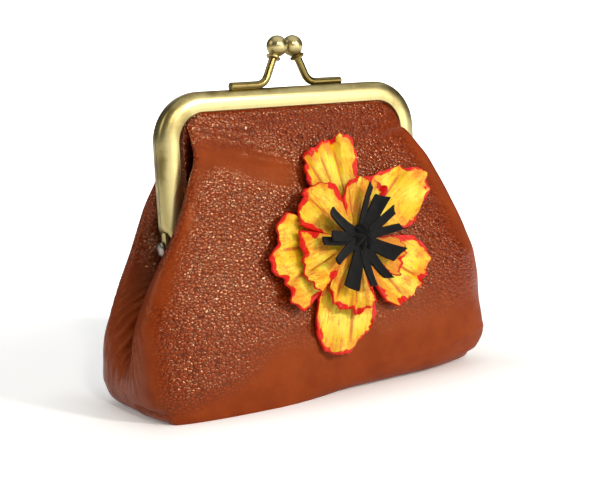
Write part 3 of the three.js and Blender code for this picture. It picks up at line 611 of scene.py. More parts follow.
def pouch_finish():
    """Half-gloss chestnut leather: domed pebbles where it is slack, smooth and paler where stretched."""
    material, place = new_finish("pebbled_chestnut_leather")
    wander = place.noise(PEBBLES["wander_size"], output=1).scaled([PEBBLES["wander"]] * 3)
    warped = place.moved(wander).scaled(PEBBLES["squash"])
    scale = 1 / PEBBLES["size"]
    away = warped.add("TexVoronoi", {"feature": "F1"}, Vector=warped, Scale=scale)
    groove = warped.add("TexVoronoi", {"feature": "DISTANCE_TO_EDGE"}, Vector=warped, Scale=scale)
    dome = 1 - away * away * PEBBLES["dome"]
    pebble = groove.between(0.0, PEBBLES["groove"])
    patch = place.noise(PATCHES["size"], detail=4, roughness=0.6)
    slack = point_value(place, "grain") + (patch - 0.5) * PATCHES["sway"]
    amount = slack.between(PATCHES["bare"], PATCHES["slack"])
    tilt = place.noise(TILT_SIZE) * (GRAIN_HEIGHT["tilt"] + amount * GRAIN_HEIGHT["slack_tilt"])
    height = dome * amount * GRAIN_HEIGHT["dome"] + pebble * amount * GRAIN_HEIGHT["groove"] + tilt
    height = height + place.noise(PORE_SIZE, detail=3) * GRAIN_HEIGHT["pores"]
    bump = place.add("Bump", Height=height, Strength=1.0, Distance=GRAIN_HEIGHT["bump"])
    # The shade value paints shade: the leather deep in the side folds and puckers is darkened.
    shade = point_value(place, "shade") * PAINTED_SHADE_SHARE
    dyed_with_painted_shade = shade.blend(pebble.blend(CHESTNUT_DARK, CHESTNUT), CHESTNUT_PAINTED_SHADE)
    rough = PEBBLE_GLOSS["roughness"] + (patch - 0.5) * PATCHES["gloss"]
    set_finish(material, Base_Color=dyed_with_painted_shade, Roughness=rough, Normal=bump)
    set_finish(material, Specular_IOR_Level=PEBBLE_GLOSS["specular"], Specular_Tint=PEBBLE_GLINT)
    pebbled = Tone(material.node_tree.nodes["Principled BSDF"].outputs["BSDF"])
    # Stretched leather is paler in worn patches, and painted shade darkens it deep in the folds.
    wear_and_painted_light = patch.between(PATCHES["worn"], PATCHES["fresh"]).blend(CHESTNUT_WORN, CHESTNUT_STRETCHED)
    wear_and_painted_light = shade.blend(wear_and_painted_light, CHESTNUT_PAINTED_SHADE)
    stretched = place.add("BsdfPrincipled", Base_Color=wear_and_painted_light, Normal=bump)
    set_sockets(stretched.socket.node, Roughness=STRETCHED_GLOSS["roughness"])
    set_sockets(stretched.socket.node, Specular_IOR_Level=STRETCHED_GLOSS["specular"])
    set_sockets(stretched.socket.node, Specular_Tint=STRETCHED_GLINT)
    both = place.add("MixShader", _0=amount, _1=stretched, _2=pebbled)
    connect(material.node_tree.nodes["Material Output"].inputs["Surface"], both)
    return material


pouch = sewn_pouch()
weld(pouch)
pouch.data.materials.append(pouch_finish())
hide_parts("front_panel", "back_panel")
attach(pouch, "root")


# Brass rails. Each is a strip of brass sheet, folded into a channel that grips the leather and bent into a
# U, with two hinge plates soldered on. Satin antique finish: pale on the face, and olive on its rounds, at
# the corners and towards the ends of the legs.

RAIL_ROUND = 3
RAIL_WEB = 1
RAIL_BACK_LIP = 4.2
RAIL_ROLL = 0.5  # the rolled edge along the inside of the rail's face
# The face is crowned: how far in its round reaches, at most which share of the face, and its fall from there.
RAIL_CROWN = dict(across=4.6, most=0.75, fall=0.3, steps=(0.5, 0.8))
RAIL_PALE = dict(depth=1.0, corner=0.9, low=0.2, reach=24)  # more olive at the corners and towards the ends of the legs
RAIL_TAPER = dict(inset=3.5, reach=7)  # the outside draws in to a point at each end
HINGE_HEIGHT = 54.5
CHANNEL_END = HINGE_HEIGHT + 0.5
CHANNEL_ENDS = [
    dict(z=CHANNEL_END, face=4.3, lip=3.7),
    dict(z=CHANNEL_END + 4, face=5.6, lip=3.8),
    dict(z=CHANNEL_END + 9, face=6.6, lip=4.0),
    dict(z=CHANNEL_END + 14, face=RAIL_FACE, lip=RAIL_BACK_LIP),
]
LEG_STEPS = 24
CORNER_STEPS = 28
TOP_STEPS = 30
ROUND_STEPS = 10
SHARP_ANGLE = math.radians(38)
PLATE = 1.0
PLATE_RADIUS = 3.2
PLATE_TOP = CHANNEL_END + 5
PLATE_WIDTH = 3
PLATE_SPLIT = 0.5  # a plate's straight edge is this far from the closing plane
PLATE_TURN = 0.35  # its round end runs this much past half a turn, in radians
PLATE_STEPS = 22
OUTER_PLATE_X = FRAME_WIDTH / 2 - PLATE
INNER_PLATE_X = OUTER_PLATE_X - CLEARANCE - PLATE

rail_face = curve_through(CHANNEL_ENDS, "z", "face")
rail_lip = curve_through(CHANNEL_ENDS, "z", "lip")


def rail_outline(face, lip):
    """The folded channel's section: how far out from the frame's outline, and how deep."""
    split = CLEARANCE / 2
    quarter = np.linspace(0, math.pi / 2, ROUND_STEPS + 1)
    roll = RAIL_ROLL * np.stack([np.sin(quarter), 1 - np.cos(quarter)], -1)
    outer = [(0, split)]
    across = min(RAIL_CROWN["across"], RAIL_CROWN["most"] * face)
    for angle in quarter:
        outer.append((across * (math.cos(angle) - 1), RAIL_DEPTH + RAIL_ROUND * (math.sin(angle) - 1)))
    flat = face - RAIL_ROLL - across
    for share in RAIL_CROWN["steps"]:
        outer.append((-across - flat * share, RAIL_DEPTH - RAIL_CROWN["fall"] * share**2))
    for out, drop in roll:
        outer.append((RAIL_ROLL - face - out, RAIL_DEPTH - RAIL_CROWN["fall"] - drop))
    outer.append((-face, RAIL_DEPTH - RAIL_CROWN["fall"] - RAIL_SHEET))
    radius = RAIL_ROUND - RAIL_WEB
    for angle in quarter[::-1]:
        out = -RAIL_ROUND + radius * math.cos(angle)
        outer.append((out, RAIL_DEPTH - RAIL_ROUND + (RAIL_ROUND - RAIL_SHEET) * math.sin(angle)))
    outer.append((-RAIL_WEB, split + RAIL_SHEET))
    outer.append((-lip, split + RAIL_SHEET))
    outer.append((-lip, split))
    return np.array(outer)


def rail_stations():
    """Places along the frame's outline, from the left hinge to the right one, with their way out."""
    stations = []
    for z in np.linspace(CHANNEL_END, CORNER_Z, LEG_STEPS, endpoint=False):
        stations.append((-FRAME_WIDTH / 2, z, -1, 0))
    for angle in np.linspace(math.pi, math.pi / 2, CORNER_STEPS):
        nx, nz = math.cos(angle), math.sin(angle)
        stations.append((-CORNER_X + CORNER_RADIUS * nx, CORNER_Z + CORNER_RADIUS * nz, nx, nz))
    for x in np.linspace(-CORNER_X, 0, TOP_STEPS)[1:]:
        stations.append((x, FRAME_TOP, 0, 1))
    return stations + [(-x, z, -nx, nz) for x, z, nx, nz in stations[-2::-1]]


def swept(rings):
    """Points and faces of a closed skin through rings of equal length, with its two ends filled."""
    rings = np.asarray(rings)
    count, sides = rings.shape[:2]
    index = np.arange(count * sides).reshape(count, sides)
    after = np.roll(index, -1, axis=1)
    faces = np.stack([index[:-1], after[:-1], after[1:], index[1:]], -1).reshape(-1, 4).tolist()
    faces += [index[0, ::-1].tolist(), index[-1].tolist()]
    return rings.reshape(-1, 3), faces


def sharpen(piece):
    """Faces out, and a crisp shade across its folded edges."""
    weld(piece)
    piece.data.set_sharp_from_angle(angle=SHARP_ANGLE)


def rail_channel(side):
    """One rail's channel, with how pale its brass is at each point."""
    rings = []
    paleness = []
    for x, z, nx, nz in rail_stations():
        section = rail_outline(rail_face(z), rail_lip(z))
        inset = RAIL_TAPER["inset"] * (1 - smoothstep(CHANNEL_END, CHANNEL_END + RAIL_TAPER["reach"], z))
        section[:, 0] = np.minimum(section[:, 0], -inset)
        ring = [(x + out * nx, side * depth, z + out * nz) for out, depth in section]
        rings.append(ring)
        pale_face = smoothstep(0.0, RAIL_ROUND, -section[:, 0])
        pale_face = pale_face * smoothstep(RAIL_PALE["depth"], RAIL_DEPTH, section[:, 1])
        corner = 1 - RAIL_PALE["corner"] * abs(nx * nz)
        up_leg = smoothstep(CHANNEL_END, CHANNEL_END + RAIL_PALE["reach"], z)
        paleness.append(pale_face * corner * (RAIL_PALE["low"] + (1 - RAIL_PALE["low"]) * up_leg))
    points, faces = swept(rings)
    return points, faces, np.concatenate(paleness)


def hinge_plate(side, hand):
    """A plate that hangs from the end of the channel, round the rivet."""
    outline = [(side * PLATE_WIDTH, PLATE_TOP)]
    for angle in np.linspace(PLATE_TURN, -math.pi - PLATE_TURN, PLATE_STEPS):
        outline.append((side * PLATE_RADIUS * math.cos(angle), HINGE_HEIGHT + PLATE_RADIUS * math.sin(angle)))
    outline += [(side * PLATE_SPLIT, CHANNEL_END), (side * PLATE_SPLIT, PLATE_TOP)]
    start = OUTER_PLATE_X if side < 0 else INNER_PLATE_X
    rings = [[(hand * x, y, z) for y, z in outline] for x in (start, start + PLATE)]
    return swept(rings)


BRASS = (0.56, 0.48, 0.225)
BRASS_OLIVE = (0.23, 0.175, 0.055)
BRASS_DARK = (0.07, 0.05, 0.022)
BRASS_CLOUD = dict(size=11 * MM, start=0.35, full=0.75, dark_start=0.48, dark_full=0.70, dark=0.4)
BRASS_SPECK = dict(
    size=1.1 * MM, start=0.62, full=0.78, share=0.35, dark_start=0.70, dark_full=0.82, dark=0.6
)
BRASS_BRUSH = dict(size=0.6 * MM, stretch=(1, 1, 0.06), gloss=0.08, bump=0.03 * MM)
TARNISH = dict(unworn=0.68, start=0.15, full=1.15, gloss=0.1)


def brass_finish(name, pale, patina, satin):
    """Satin brass with an olive patina that is thinner where a piece's worn value is higher, and dark specks.
    """
    material, place = new_finish(name)
    unworn = 1 - point_value(place, "worn")
    cloud = place.noise(BRASS_CLOUD["size"], detail=4, roughness=0.6)
    speck = place.noise(BRASS_SPECK["size"], detail=3, roughness=0.7)
    brush = place.scaled(BRASS_BRUSH["stretch"]).noise(BRASS_BRUSH["size"])
    tarnish = cloud.ramp(BRASS_CLOUD) * patina
    tarnish = tarnish + speck.ramp(BRASS_SPECK) * BRASS_SPECK["share"]
    tarnish = tarnish + unworn * TARNISH["unworn"]
    colour = tarnish.ramp(TARNISH).blend(pale, BRASS_OLIVE)
    spots = speck.between(BRASS_SPECK["dark_start"], BRASS_SPECK["dark_full"]) * BRASS_SPECK["dark"]
    colour = spots.blend(colour, BRASS_DARK)
    stain = cloud.between(BRASS_CLOUD["dark_start"], BRASS_CLOUD["dark_full"]) * unworn
    colour = (stain * BRASS_CLOUD["dark"]).blend(colour, BRASS_DARK)
    rough = satin + tarnish * TARNISH["gloss"] + (brush - 0.5) * BRASS_BRUSH["gloss"]
    height = brush * 0.5 + speck * 0.5
    bump = place.add("Bump", Height=height, Strength=0.25, Distance=BRASS_BRUSH["bump"])
    set_finish(material, Base_Color=colour, Roughness=rough, Normal=bump, Metallic=1.0)
    return material


rail_brass = brass_finish("antique_brass", BRASS, patina=0.55, satin=0.3)
for name, side in (("front_rail", -1), ("back_rail", 1)):
    *channel, worn = rail_channel(side)
    points, faces = joined([channel, hinge_plate(side, -1), hinge_plate(side, 1)])
    worn = np.concatenate([worn, np.zeros(len(points) - len(worn))])
    rail = make_piece(name + "_brass", points, faces, {"worn": worn})
    sharpen(rail)
    rail.data.materials.append(rail_brass)
    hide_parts(name)
    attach(rail, "root")


# Kiss lock. A bent brass wire is soldered along the top of each rail, and its upright end carries a turned
# ball with a collar. The two balls snap past each other to close the purse.

WIRE_RADIUS = 1.42
WIRE_BEND = 3.4
WIRE_SIDES = 20
WIRE_STEPS = 12
BEND_STEPS = 16
WIRE_END = dict(narrow=0.86, past=0.02, chamfer=0.25)  # the filed end of the wire
BALL_RADIUS = 3.75
BALL_NECK = 1.9
BALL_SIDES = 40
BALL_STEPS = 26
POLE = 0.02  # turned skins stop this short of their axis, in millimetres or radians
FOOT_SUNK = 0.35
LOCK = dict(foot_end=24.1, bend=10.4, ball_x=3.8, ball_y=1.1, ball_z=120.8, foot_y=2.3)
# Turned profiles are pairs of a radius and a height, here from the ball's middle.
COLLAR = [(1.4, -4.9), (2.4, -4.75), (2.6, -4.5), (2.6, -4.2), (2.35, -3.95), (1.7, -3.8), (1.7, -3.5)]
WIRE_Z = FRAME_TOP + WIRE_RADIUS - FOOT_SUNK


def ball_middle(side):
    return np.array([side * LOCK["ball_x"], side * LOCK["ball_y"], LOCK["ball_z"]])


def wire_corner(side):
    return np.array([side * LOCK["bend"], side * LOCK["foot_y"], WIRE_Z])


def post_direction(side):
    run = ball_middle(side) - wire_corner(side)
    return run / np.linalg.norm(run)


def wire_path(side):
    """The wire's middle line: along the rail, round its bend and up to the ball."""
    corner = wire_corner(side)
    foot = np.array([side * LOCK["foot_end"], side * LOCK["foot_y"], WIRE_Z])
    before = corner + np.array([side * WIRE_BEND, 0, 0])
    after = corner + WIRE_BEND * post_direction(side)
    t = np.linspace(0, 1, BEND_STEPS)[:, None]
    bend = (1 - t) ** 2 * before + 2 * t * (1 - t) * corner + t**2 * after
    straight = [foot + (before - foot) * share for share in np.linspace(0, 1, WIRE_STEPS)[:-1]]
    return np.array([*straight, *bend, ball_middle(side)])


def tube(path, radii, sides):
    """A round skin along a path that has no stretch along Y, with a radius at each of its points."""
    tangents = np.gradient(path, axis=0)
    tangents /= np.linalg.norm(tangents, axis=1, keepdims=True)
    across = np.cross(tangents, (0, 1, 0))
    across /= np.linalg.norm(across, axis=1, keepdims=True)
    beside = np.cross(tangents, across)
    angle = np.linspace(0, 2 * math.pi, sides, endpoint=False)
    turn = np.cos(angle)[None, :, None] * across[:, None] + np.sin(angle)[None, :, None] * beside[:, None]
    return swept(path[:, None] + np.asarray(radii)[:, None, None] * turn)


def turned(profile, sides):
    """A skin turned round +Z from radius and height pairs. It starts and ends near the axis."""
    angle = np.linspace(0, 2 * math.pi, sides, endpoint=False)
    rings = [[(r * math.cos(a), r * math.sin(a), h) for a in angle] for r, h in profile]
    return swept(rings)


def ball_profile():
    lowest = -math.acos(BALL_NECK / BALL_RADIUS)
    angles = np.linspace(lowest, math.pi / 2 - POLE, BALL_STEPS)
    sphere = [(BALL_RADIUS * math.cos(a), BALL_RADIUS * math.sin(a)) for a in angles]
    return [(POLE, COLLAR[0][1]), *COLLAR, *sphere]


def turned_to(points, direction, place):
    """Points whose +Z now runs along a direction, moved to a place."""
    turn = np.array(Vector((0, 0, 1)).rotation_difference(Vector(direction)).to_matrix())
    return points @ turn.T + place


WIRE_BRASS = (0.105, 0.083, 0.038)
BALL_BRASS = (0.56, 0.47, 0.23)
wire_brass = brass_finish("dark_antique_brass", WIRE_BRASS, patina=0.5, satin=0.17)
ball_brass = brass_finish("antique_ball_brass", BALL_BRASS, patina=0.5, satin=0.27)
# The balls' brass is paler on the front, back and top, partly rubbed and partly a painted highlight, and
# olive round the rims, partly patina and partly painted dark reflection.
BALL_RUBBED_AND_LIT = dict(share=0.6, top=0.45, start=0.35, full=1.1)  # paler on the front, back and top: rubbed, and a painted highlight
for name, side in (("front", -1), ("back", 1)):
    path = wire_path(side)
    path[0] = path[0] + WIRE_END["past"] * (path[0] - path[1])
    chamfer = path[:1] - side * np.array([[WIRE_END["chamfer"], 0, 0]])
    path = np.concatenate([path[:1], chamfer, path[1:]])
    radii = np.full(len(path), WIRE_RADIUS)
    radii[0] = WIRE_END["narrow"] * WIRE_RADIUS
    wire = make_piece(name + "_lock_wire", *tube(path, radii, WIRE_SIDES))
    points, faces = turned(ball_profile(), BALL_SIDES)
    points = turned_to(points, post_direction(side), ball_middle(side))
    outwards = (points - ball_middle(side)) / BALL_RADIUS
    wear_and_painted_light = np.abs(outwards[:, 1]) + BALL_RUBBED_AND_LIT["top"] * outwards[:, 2]
    wear_and_painted_light = BALL_RUBBED_AND_LIT["share"] * ramp(BALL_RUBBED_AND_LIT, wear_and_painted_light)
    ball = make_piece(name + "_lock_ball", points, faces, {"worn": wear_and_painted_light})
    for piece, brass in ((wire, wire_brass), (ball, ball_brass)):
        sharpen(piece)
        piece.data.materials.append(brass)
        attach(piece, "root")
    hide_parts(name + "_ball")


# Hinge rivets. A domed steel rivet goes through both hinge plates at each end of the frame, and is closed on
# the inside. Its metal is dull and grey, with small dents and some grime.

RIVET_RADIUS = 1.1
RIVET_TAIL = [(POLE, -4.0), (1.7, -4.0), (1.9, -3.8), (1.9, -3.3), (RIVET_RADIUS, -3.2)]
RIVET_HEAD = [(RIVET_RADIUS, 0.3), (2.3, 0.3), (2.5, 0.45), (2.5, 0.75), (2.3, 1.0), (1.8, 1.18)]
RIVET_DOME = [(1.0, 1.28), (POLE, 1.3)]
RIVET_SIDES = 32
PEWTER = (0.27, 0.24, 0.205)
PEWTER_DARK = (0.10, 0.085, 0.065)
DENTS = dict(size=1.3 * MM, depth=0.1 * MM)
GRIME = dict(size=0.7 * MM, start=0.45, full=0.8, clean_gloss=0.22, gloss=0.2)


def pewter_finish():
    """Dull grey metal with a hammered dome."""
    material, place = new_finish("dull_pewter_rivet")
    grime = place.noise(GRIME["size"], detail=3)
    colour = grime.ramp(GRIME).blend(PEWTER, PEWTER_DARK)
    rough = GRIME["clean_gloss"] + grime * GRIME["gloss"]
    bump = place.add("Bump", Height=place.noise(DENTS["size"]), Strength=0.4, Distance=DENTS["depth"])
    set_finish(material, Base_Color=colour, Roughness=rough, Normal=bump, Metallic=1.0)
    return material


pewter = pewter_finish()
for name, hand in (("left_rivet", -1), ("right_rivet", 1)):
    points, faces = turned([*RIVET_TAIL, *RIVET_HEAD, *RIVET_DOME], RIVET_SIDES)
    place = np.array([hand * (OUTER_PLATE_X + PLATE), 0, HINGE_HEIGHT])
    rivet = make_piece(name + "_steel", turned_to(points, (hand, 0, 0), place), faces)
    sharpen(rivet)
    rivet.data.materials.append(pewter)
    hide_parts(name)
    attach(rivet, "root")


# Painted flower. Two layers of five leather petals are cut in one with their middles, wetted and crimped,
# painted yellow with orange strokes, and edged in red. They are fixed through the middle on the front.

FLOWER_X = 10.5
FLOWER_Z = 52
PETAL_LEATHER = 1.2
PETAL_DISC = 7
OUTER_SEAT = CLEARANCE
INNER_SEAT = OUTER_SEAT + PETAL_LEATHER + CLEARANCE
STAMEN_SEAT = INNER_SEAT + PETAL_LEATHER + CLEARANCE
PETAL_FOOT = 0.08
PETAL_ROWS = 30
PETAL_COLUMNS = 72
EDGE_SWELL = 0.3  # how far the rounded cut edge stands out
CUT_EDGE = 0.4  # the paint runs on this far over the cut edge
BARE_FOOT = dict(distance=4.0, start=0.4, full=0.75)  # the red edge doesn't run down to the foot of a petal
OVERLAP = 0.04  # each petal of a layer lies this much higher than the one before
ROUNDED = dict(share=0.06, power=6)  # how much the corners of the cut are rounded
PAINT_APART = 40.0  # petals are painted with different strokes
ON_EDGE = 0.999
RIM_PLACES = np.linspace(-1, 1, 7)

# One row for each petal: its direction, half of the angle that it fans over, its length, how high its tip
# stands, how much its sides curl up, its broad ruffle's height, waves and start, where pleats run along it,
# and how far its edge is from the middle at seven even places across it.
OUTER_PETALS = [
    dict(turn=101, fan=25, length=37.5, lift=1.5, curl=1.2, ruffle=1.2, waves=2.5, start=0.4,
         pleats=(-0.35, 0.15, 0.5), rim=(31, 37.5, 36.5, 36, 35.2, 32.5, 28)),
    dict(turn=33, fan=28, length=39.5, lift=0.8, curl=1.4, ruffle=1.0, waves=2.0, start=1.6,
         pleats=(0.3,), rim=(24.5, 31, 38.8, 40, 36, 30.5, 25.5)),
    dict(turn=-38, fan=37, length=31, lift=0.5, curl=1.2, ruffle=1.0, waves=2.5, start=2.6,
         pleats=(-0.45, 0.1), rim=(24, 28, 29, 30, 31.5, 29.5, 24)),
    dict(turn=-111, fan=28, length=41, lift=-2.0, curl=1.4, ruffle=1.1, waves=2.0, start=0.9,
         pleats=(0.2,), rim=(27, 34.5, 39.5, 40.8, 36.2, 31.7, 26.5)),
    dict(turn=-173, fan=33, length=37, lift=3.0, curl=1.2, ruffle=1.4, waves=2.5, start=3.4,
         pleats=(-0.2, 0.4), rim=(30, 32, 32.6, 37.3, 34, 36.2, 35)),
]
INNER_PETALS = [
    dict(turn=135, fan=30, length=27, lift=3.5, curl=1.4, ruffle=1.0, waves=2.0, start=0.2,
         pleats=(0.1,), rim=(20.3, 22.7, 24.7, 26.4, 26.7, 25.7, 24)),
    dict(turn=76, fan=30, length=22, lift=4.0, curl=1.2, ruffle=0.9, waves=2.0, start=1.2,
         pleats=(0.55,), rim=(20.2, 21.3, 22.4, 21.5, 20.9, 19, 15)),
    dict(turn=-31, fan=30, length=20, lift=3.2, curl=1.2, ruffle=0.9, waves=2.5, start=2.2,
         pleats=(0.0,), rim=(15.5, 18.8, 18.4, 18, 18.7, 16.9, 13)),
    dict(turn=-114, fan=27, length=27, lift=2.6, curl=1.4, ruffle=1.0, waves=2.5, start=0.8,
         pleats=(-0.5, 0.25), rim=(21, 25.4, 26.5, 25.6, 26.4, 24, 22.5)),
    dict(turn=-167, fan=26, length=28, lift=3.8, curl=1.4, ruffle=1.0, waves=2.0, start=3.0,
         pleats=(0.3,), rim=(25.2, 25.1, 25.1, 25.8, 27.2, 27.8, 27)),
]
PLEAT = dict(width=0.08, depth=1.3)
# Fine pleats are spread evenly, and each wanders by a sine of its number and of the petal's direction.
FINE_PLEAT = dict(width=0.045, depth=0.4, count=7, spread=0.85, wander=0.12, step=5, turn=3)
# The painted shade in the pleats' valleys: how sharp it is, and where along a petal it starts, is full, fades
# and ends.
PLEAT_PAINT = dict(power=3, start=0.2, full=0.5, fade=0.8, end=1.0)
LATE = dict(lift=1.5, curl=2, ruffle=3, crimp=7)  # the higher, the nearer to the edge a form sets in
CRIMP = dict(waves=4.6, slow_waves=2.3, height=0.9, frill=0.012)
FRILLS = [
    dict(waves=4.4, start=5, share=1.0),
    dict(waves=7.7, start=3, share=0.6),
    dict(waves=12.6, start=7, share=0.35),
]
PETAL_MIDDLE = dict(sides=40, under=0.05, sunk=0.1, from_edge=9.0)
SLOPE_STEP = 4.0  # the front's slope under the flower is taken over this distance to either side


def front_depth(x, z):
    """Depth of the pouch's front at a place, from the closing plane."""
    share = min(1.0, abs(x) / float(lobe_half(np.array(z), -1, np.sign(x))))
    square = float(level["square"](z))
    lobe = float(level["lobe"](z))
    out = (1 - share**square) ** (1 / square)
    fold = float(line_heights(FOLDS, np.array([x]), np.array([z]), FOLD_FADE)[0])
    return lobe + (float(level["depth"](z)) - lobe) * out + fold * out


def flower_frame():
    """The flower's place on the front, with its right, up and outward directions."""

    def at(x, z):
        return np.array([x, -front_depth(x, z), z])

    right = at(FLOWER_X + SLOPE_STEP, FLOWER_Z) - at(FLOWER_X - SLOPE_STEP, FLOWER_Z)
    right /= np.linalg.norm(right)
    up = at(FLOWER_X, FLOWER_Z + SLOPE_STEP) - at(FLOWER_X, FLOWER_Z - SLOPE_STEP)
    out = np.cross(right, up)
    out /= np.linalg.norm(out)
    return at(FLOWER_X, FLOWER_Z), np.stack([right, np.cross(out, right), out])


flower_place, flower_axes = flower_frame()


def on_flower(points):
    return flower_place + points @ flower_axes


def pleat_depth(petal, s):
    """How deep a petal's pleats are across it, few deep ones and some fine ones, and their painted shade."""
    depth = np.zeros_like(s)
    paint = np.zeros_like(s)
    rows = [(pleat, PLEAT) for pleat in petal["pleats"]]
    spread = FINE_PLEAT["spread"]
    for i, even in enumerate(np.linspace(-spread, spread, FINE_PLEAT["count"])):
        sway = math.sin(FINE_PLEAT["step"] * i + FINE_PLEAT["turn"] * petal["turn"])
        rows.append((even + FINE_PLEAT["wander"] * sway, FINE_PLEAT))
    for pleat, kind in rows:
        valley = np.exp(-(((s - pleat) / kind["width"]) ** 2))
        depth += kind["depth"] * valley
        paint = np.maximum(paint, valley ** PLEAT_PAINT["power"] * kind["depth"] / PLEAT["depth"])
    return depth, paint


def petal_height(petal, radius, s, t):
    """Height of a petal above its seat: lifted tip, curled sides, broad ruffle, pleats and crimped edge."""
    reach = np.clip((radius - PETAL_DISC) / (petal["length"] - PETAL_DISC), 0, None)
    ruffle = petal["ruffle"] * np.sin(petal["waves"] * math.pi * s + petal["start"])
    height = petal["lift"] * reach ** LATE["lift"] + petal["curl"] * s * s * reach ** LATE["curl"]
    height = height + ruffle * reach ** LATE["ruffle"] - pleat_depth(petal, s)[0] * reach
    crimp = np.sin(CRIMP["waves"] * math.pi * s + 2 * petal["start"])
    crimp = crimp * np.sin(CRIMP["slow_waves"] * math.pi * s + petal["turn"])
    return height + CRIMP["height"] * crimp * reach * t ** LATE["crimp"]


def petal_sheet(petal, seat, number):
    """One petal with a rounded edge: points and faces, paint places, distances to the edge, painted pleat
    shade.
    """
    rim_rows = [dict(s=s, rim=rim) for s, rim in zip(RIM_PLACES, petal["rim"])]
    s, t = np.meshgrid(np.linspace(-1, 1, PETAL_COLUMNS + 1), np.linspace(PETAL_FOOT, 1, PETAL_ROWS + 1))
    frill = np.zeros_like(s)
    for row in FRILLS:
        frill += row["share"] * np.sin(row["waves"] * math.pi * s + row["start"] * petal["start"])
    rim = curve_through(rim_rows, "s", "rim")(s) * (1 + CRIMP["frill"] * frill)
    radius = t * rim
    swing = s * (1 - ROUNDED["share"] * t ** ROUNDED["power"] * np.abs(s))
    angle = np.radians(petal["turn"] + swing * petal["fan"])
    height = seat + PETAL_LEATHER + petal_height(petal, radius, s, t) + OVERLAP * number
    top = np.stack([radius * np.cos(angle), radius * np.sin(angle), height], -1)
    bottom = top - np.array([0, 0, PETAL_LEATHER])
    side_gap = radius * np.sin(np.radians((1 - np.abs(s)) * petal["fan"]))
    bare = BARE_FOOT["distance"] * (1 - ramp(BARE_FOOT, t))
    from_edge = (np.minimum(rim * (1 - t), side_gap) + bare).ravel()

    rows, columns = s.shape
    index = np.arange(rows * columns).reshape(rows, columns)
    loop = np.concatenate([index[:-1, 0], index[-1, :-1], index[::-1, -1]])
    middle = top.reshape(-1, 3)[loop] - np.array([0, 0, PETAL_LEATHER / 2])
    outward_s = np.sign(s.ravel()[loop]) * (np.abs(s.ravel()[loop]) > ON_EDGE)
    outward_t = (t.ravel()[loop] > ON_EDGE).astype(float)
    loop_angle = angle.ravel()[loop]
    radial = np.stack([np.cos(loop_angle), np.sin(loop_angle)], -1)
    beside = np.stack([-np.sin(loop_angle), np.cos(loop_angle)], -1)
    push = radial * outward_t[:, None] + beside * outward_s[:, None]
    push /= np.maximum(np.linalg.norm(push, axis=1, keepdims=True), 1)
    middle[:, :2] += EDGE_SWELL * push

    count = rows * columns
    faces = grid_faces(rows, columns, 0, flip=True).tolist() + grid_faces(rows, columns, count).tolist()
    ring = 2 * count + np.arange(len(loop))
    for upper, lower in ((loop, ring), (ring, loop + count)):
        faces += np.stack([upper[:-1], upper[1:], lower[1:], lower[:-1]], -1).tolist()
    points = np.concatenate([top.reshape(-1, 3), bottom.reshape(-1, 3), middle])
    across = (radius * np.radians(swing * petal["fan"])).ravel()
    places = np.stack([across, radius.ravel(), np.full(count, PAINT_APART * number)], -1)
    places = np.concatenate([places, places, places[loop]])
    edge = np.concatenate([from_edge, from_edge, from_edge[loop] - CUT_EDGE])
    pleat = pleat_depth(petal, s)[1] * ramp(PLEAT_PAINT, t)
    pleat = (pleat * (1 - smoothstep(PLEAT_PAINT["fade"], PLEAT_PAINT["end"], t))).ravel()
    pleat = np.concatenate([pleat, pleat, pleat[loop]])
    return (points, faces), places, edge, pleat


def petal_layer(name, petals, seat):
    """A layer's petals, and the disc that they are cut in one with."""
    base = seat - PETAL_MIDDLE["under"]
    top = seat + PETAL_LEATHER - PETAL_MIDDLE["sunk"]
    profile = [(POLE, base), (PETAL_DISC, base), (PETAL_DISC, top), (POLE, top)]
    disc = turned(profile, PETAL_MIDDLE["sides"])
    count = len(disc[0])
    sheets = [petal_sheet(petal, seat, number) for number, petal in enumerate(petals)]
    sheets.append((disc, disc[0] * [1, 1, 0], np.full(count, PETAL_MIDDLE["from_edge"]), np.zeros(count)))
    parts, places, edges, pleats = zip(*sheets)
    points, faces = joined(parts)
    attributes = {
        "paint_place": np.concatenate(places) * MM,
        "from_edge": np.concatenate(edges),
        "pleat": np.concatenate(pleats),
    }
    return make_piece(name, on_flower(points), faces, attributes)


PETAL_YELLOW = (0.66, 0.43, 0.007)
PETAL_PALE = (0.72, 0.60, 0.060)
PETAL_ORANGE = (0.66, 0.175, 0.012)
PETAL_RUST = (0.46, 0.075, 0.010)
PETAL_RED = (0.55, 0.007, 0.003)
PETAL_SPECK = (0.22, 0.07, 0.015)
# Each coat of paint: the shares of the noises in it, where it starts and is full, and how strong it is.
BROAD_SIZE = 5.5 * MM
DRY_SIZE = 0.6 * MM
BRUSHED = dict(size=0.9 * MM, stretch=(1, 0.16, 1))
STREAKS = dict(size=0.8 * MM, stretch=(1, 0.15, 1))
PALE_CLOUD = dict(size=8 * MM, start=0.35, full=0.65)
NEAR_EDGE = 9.0
# Painted shade: the petals are painted more orange towards the middle, where they lie in shade.
FOOT_SHADE_TINT = dict(start=9 * MM, full=27 * MM)
ORANGE = dict(broad=0.9, brushed=0.7, dry=0.35, edge=0.22, foot=0.16, start=1.0, full=1.3, share=0.8)
SPECKS = dict(dry=0.6, brushed=0.5, start=0.64, full=0.74, bare=0.40, covered=0.62, share=0.7)
SCUFFS = dict(size=4.5 * MM, streak=0.7, dry=0.3, start=0.53, full=0.60, bare=0.44, covered=0.58, share=0.65)
# painted shade in the pleats' valleys
PLEAT_SHADE = dict(even=0.4, dry=0.7, start=0.1, full=0.6, share=0.8)
RED_BAND = dict(size=7 * MM, start=0.40, full=0.64, width=2.3, brushed=0.8, back=0.2, soft=0.2)
PAINT_HEIGHT = dict(brushed=0.7, broad=0.6, red=0.2, dry=0.3, streak=0.4, bump=0.5 * MM)
PAINT_GLOSS = dict(roughness=0.38, broad=0.25, red=0.08, specular=0.24)


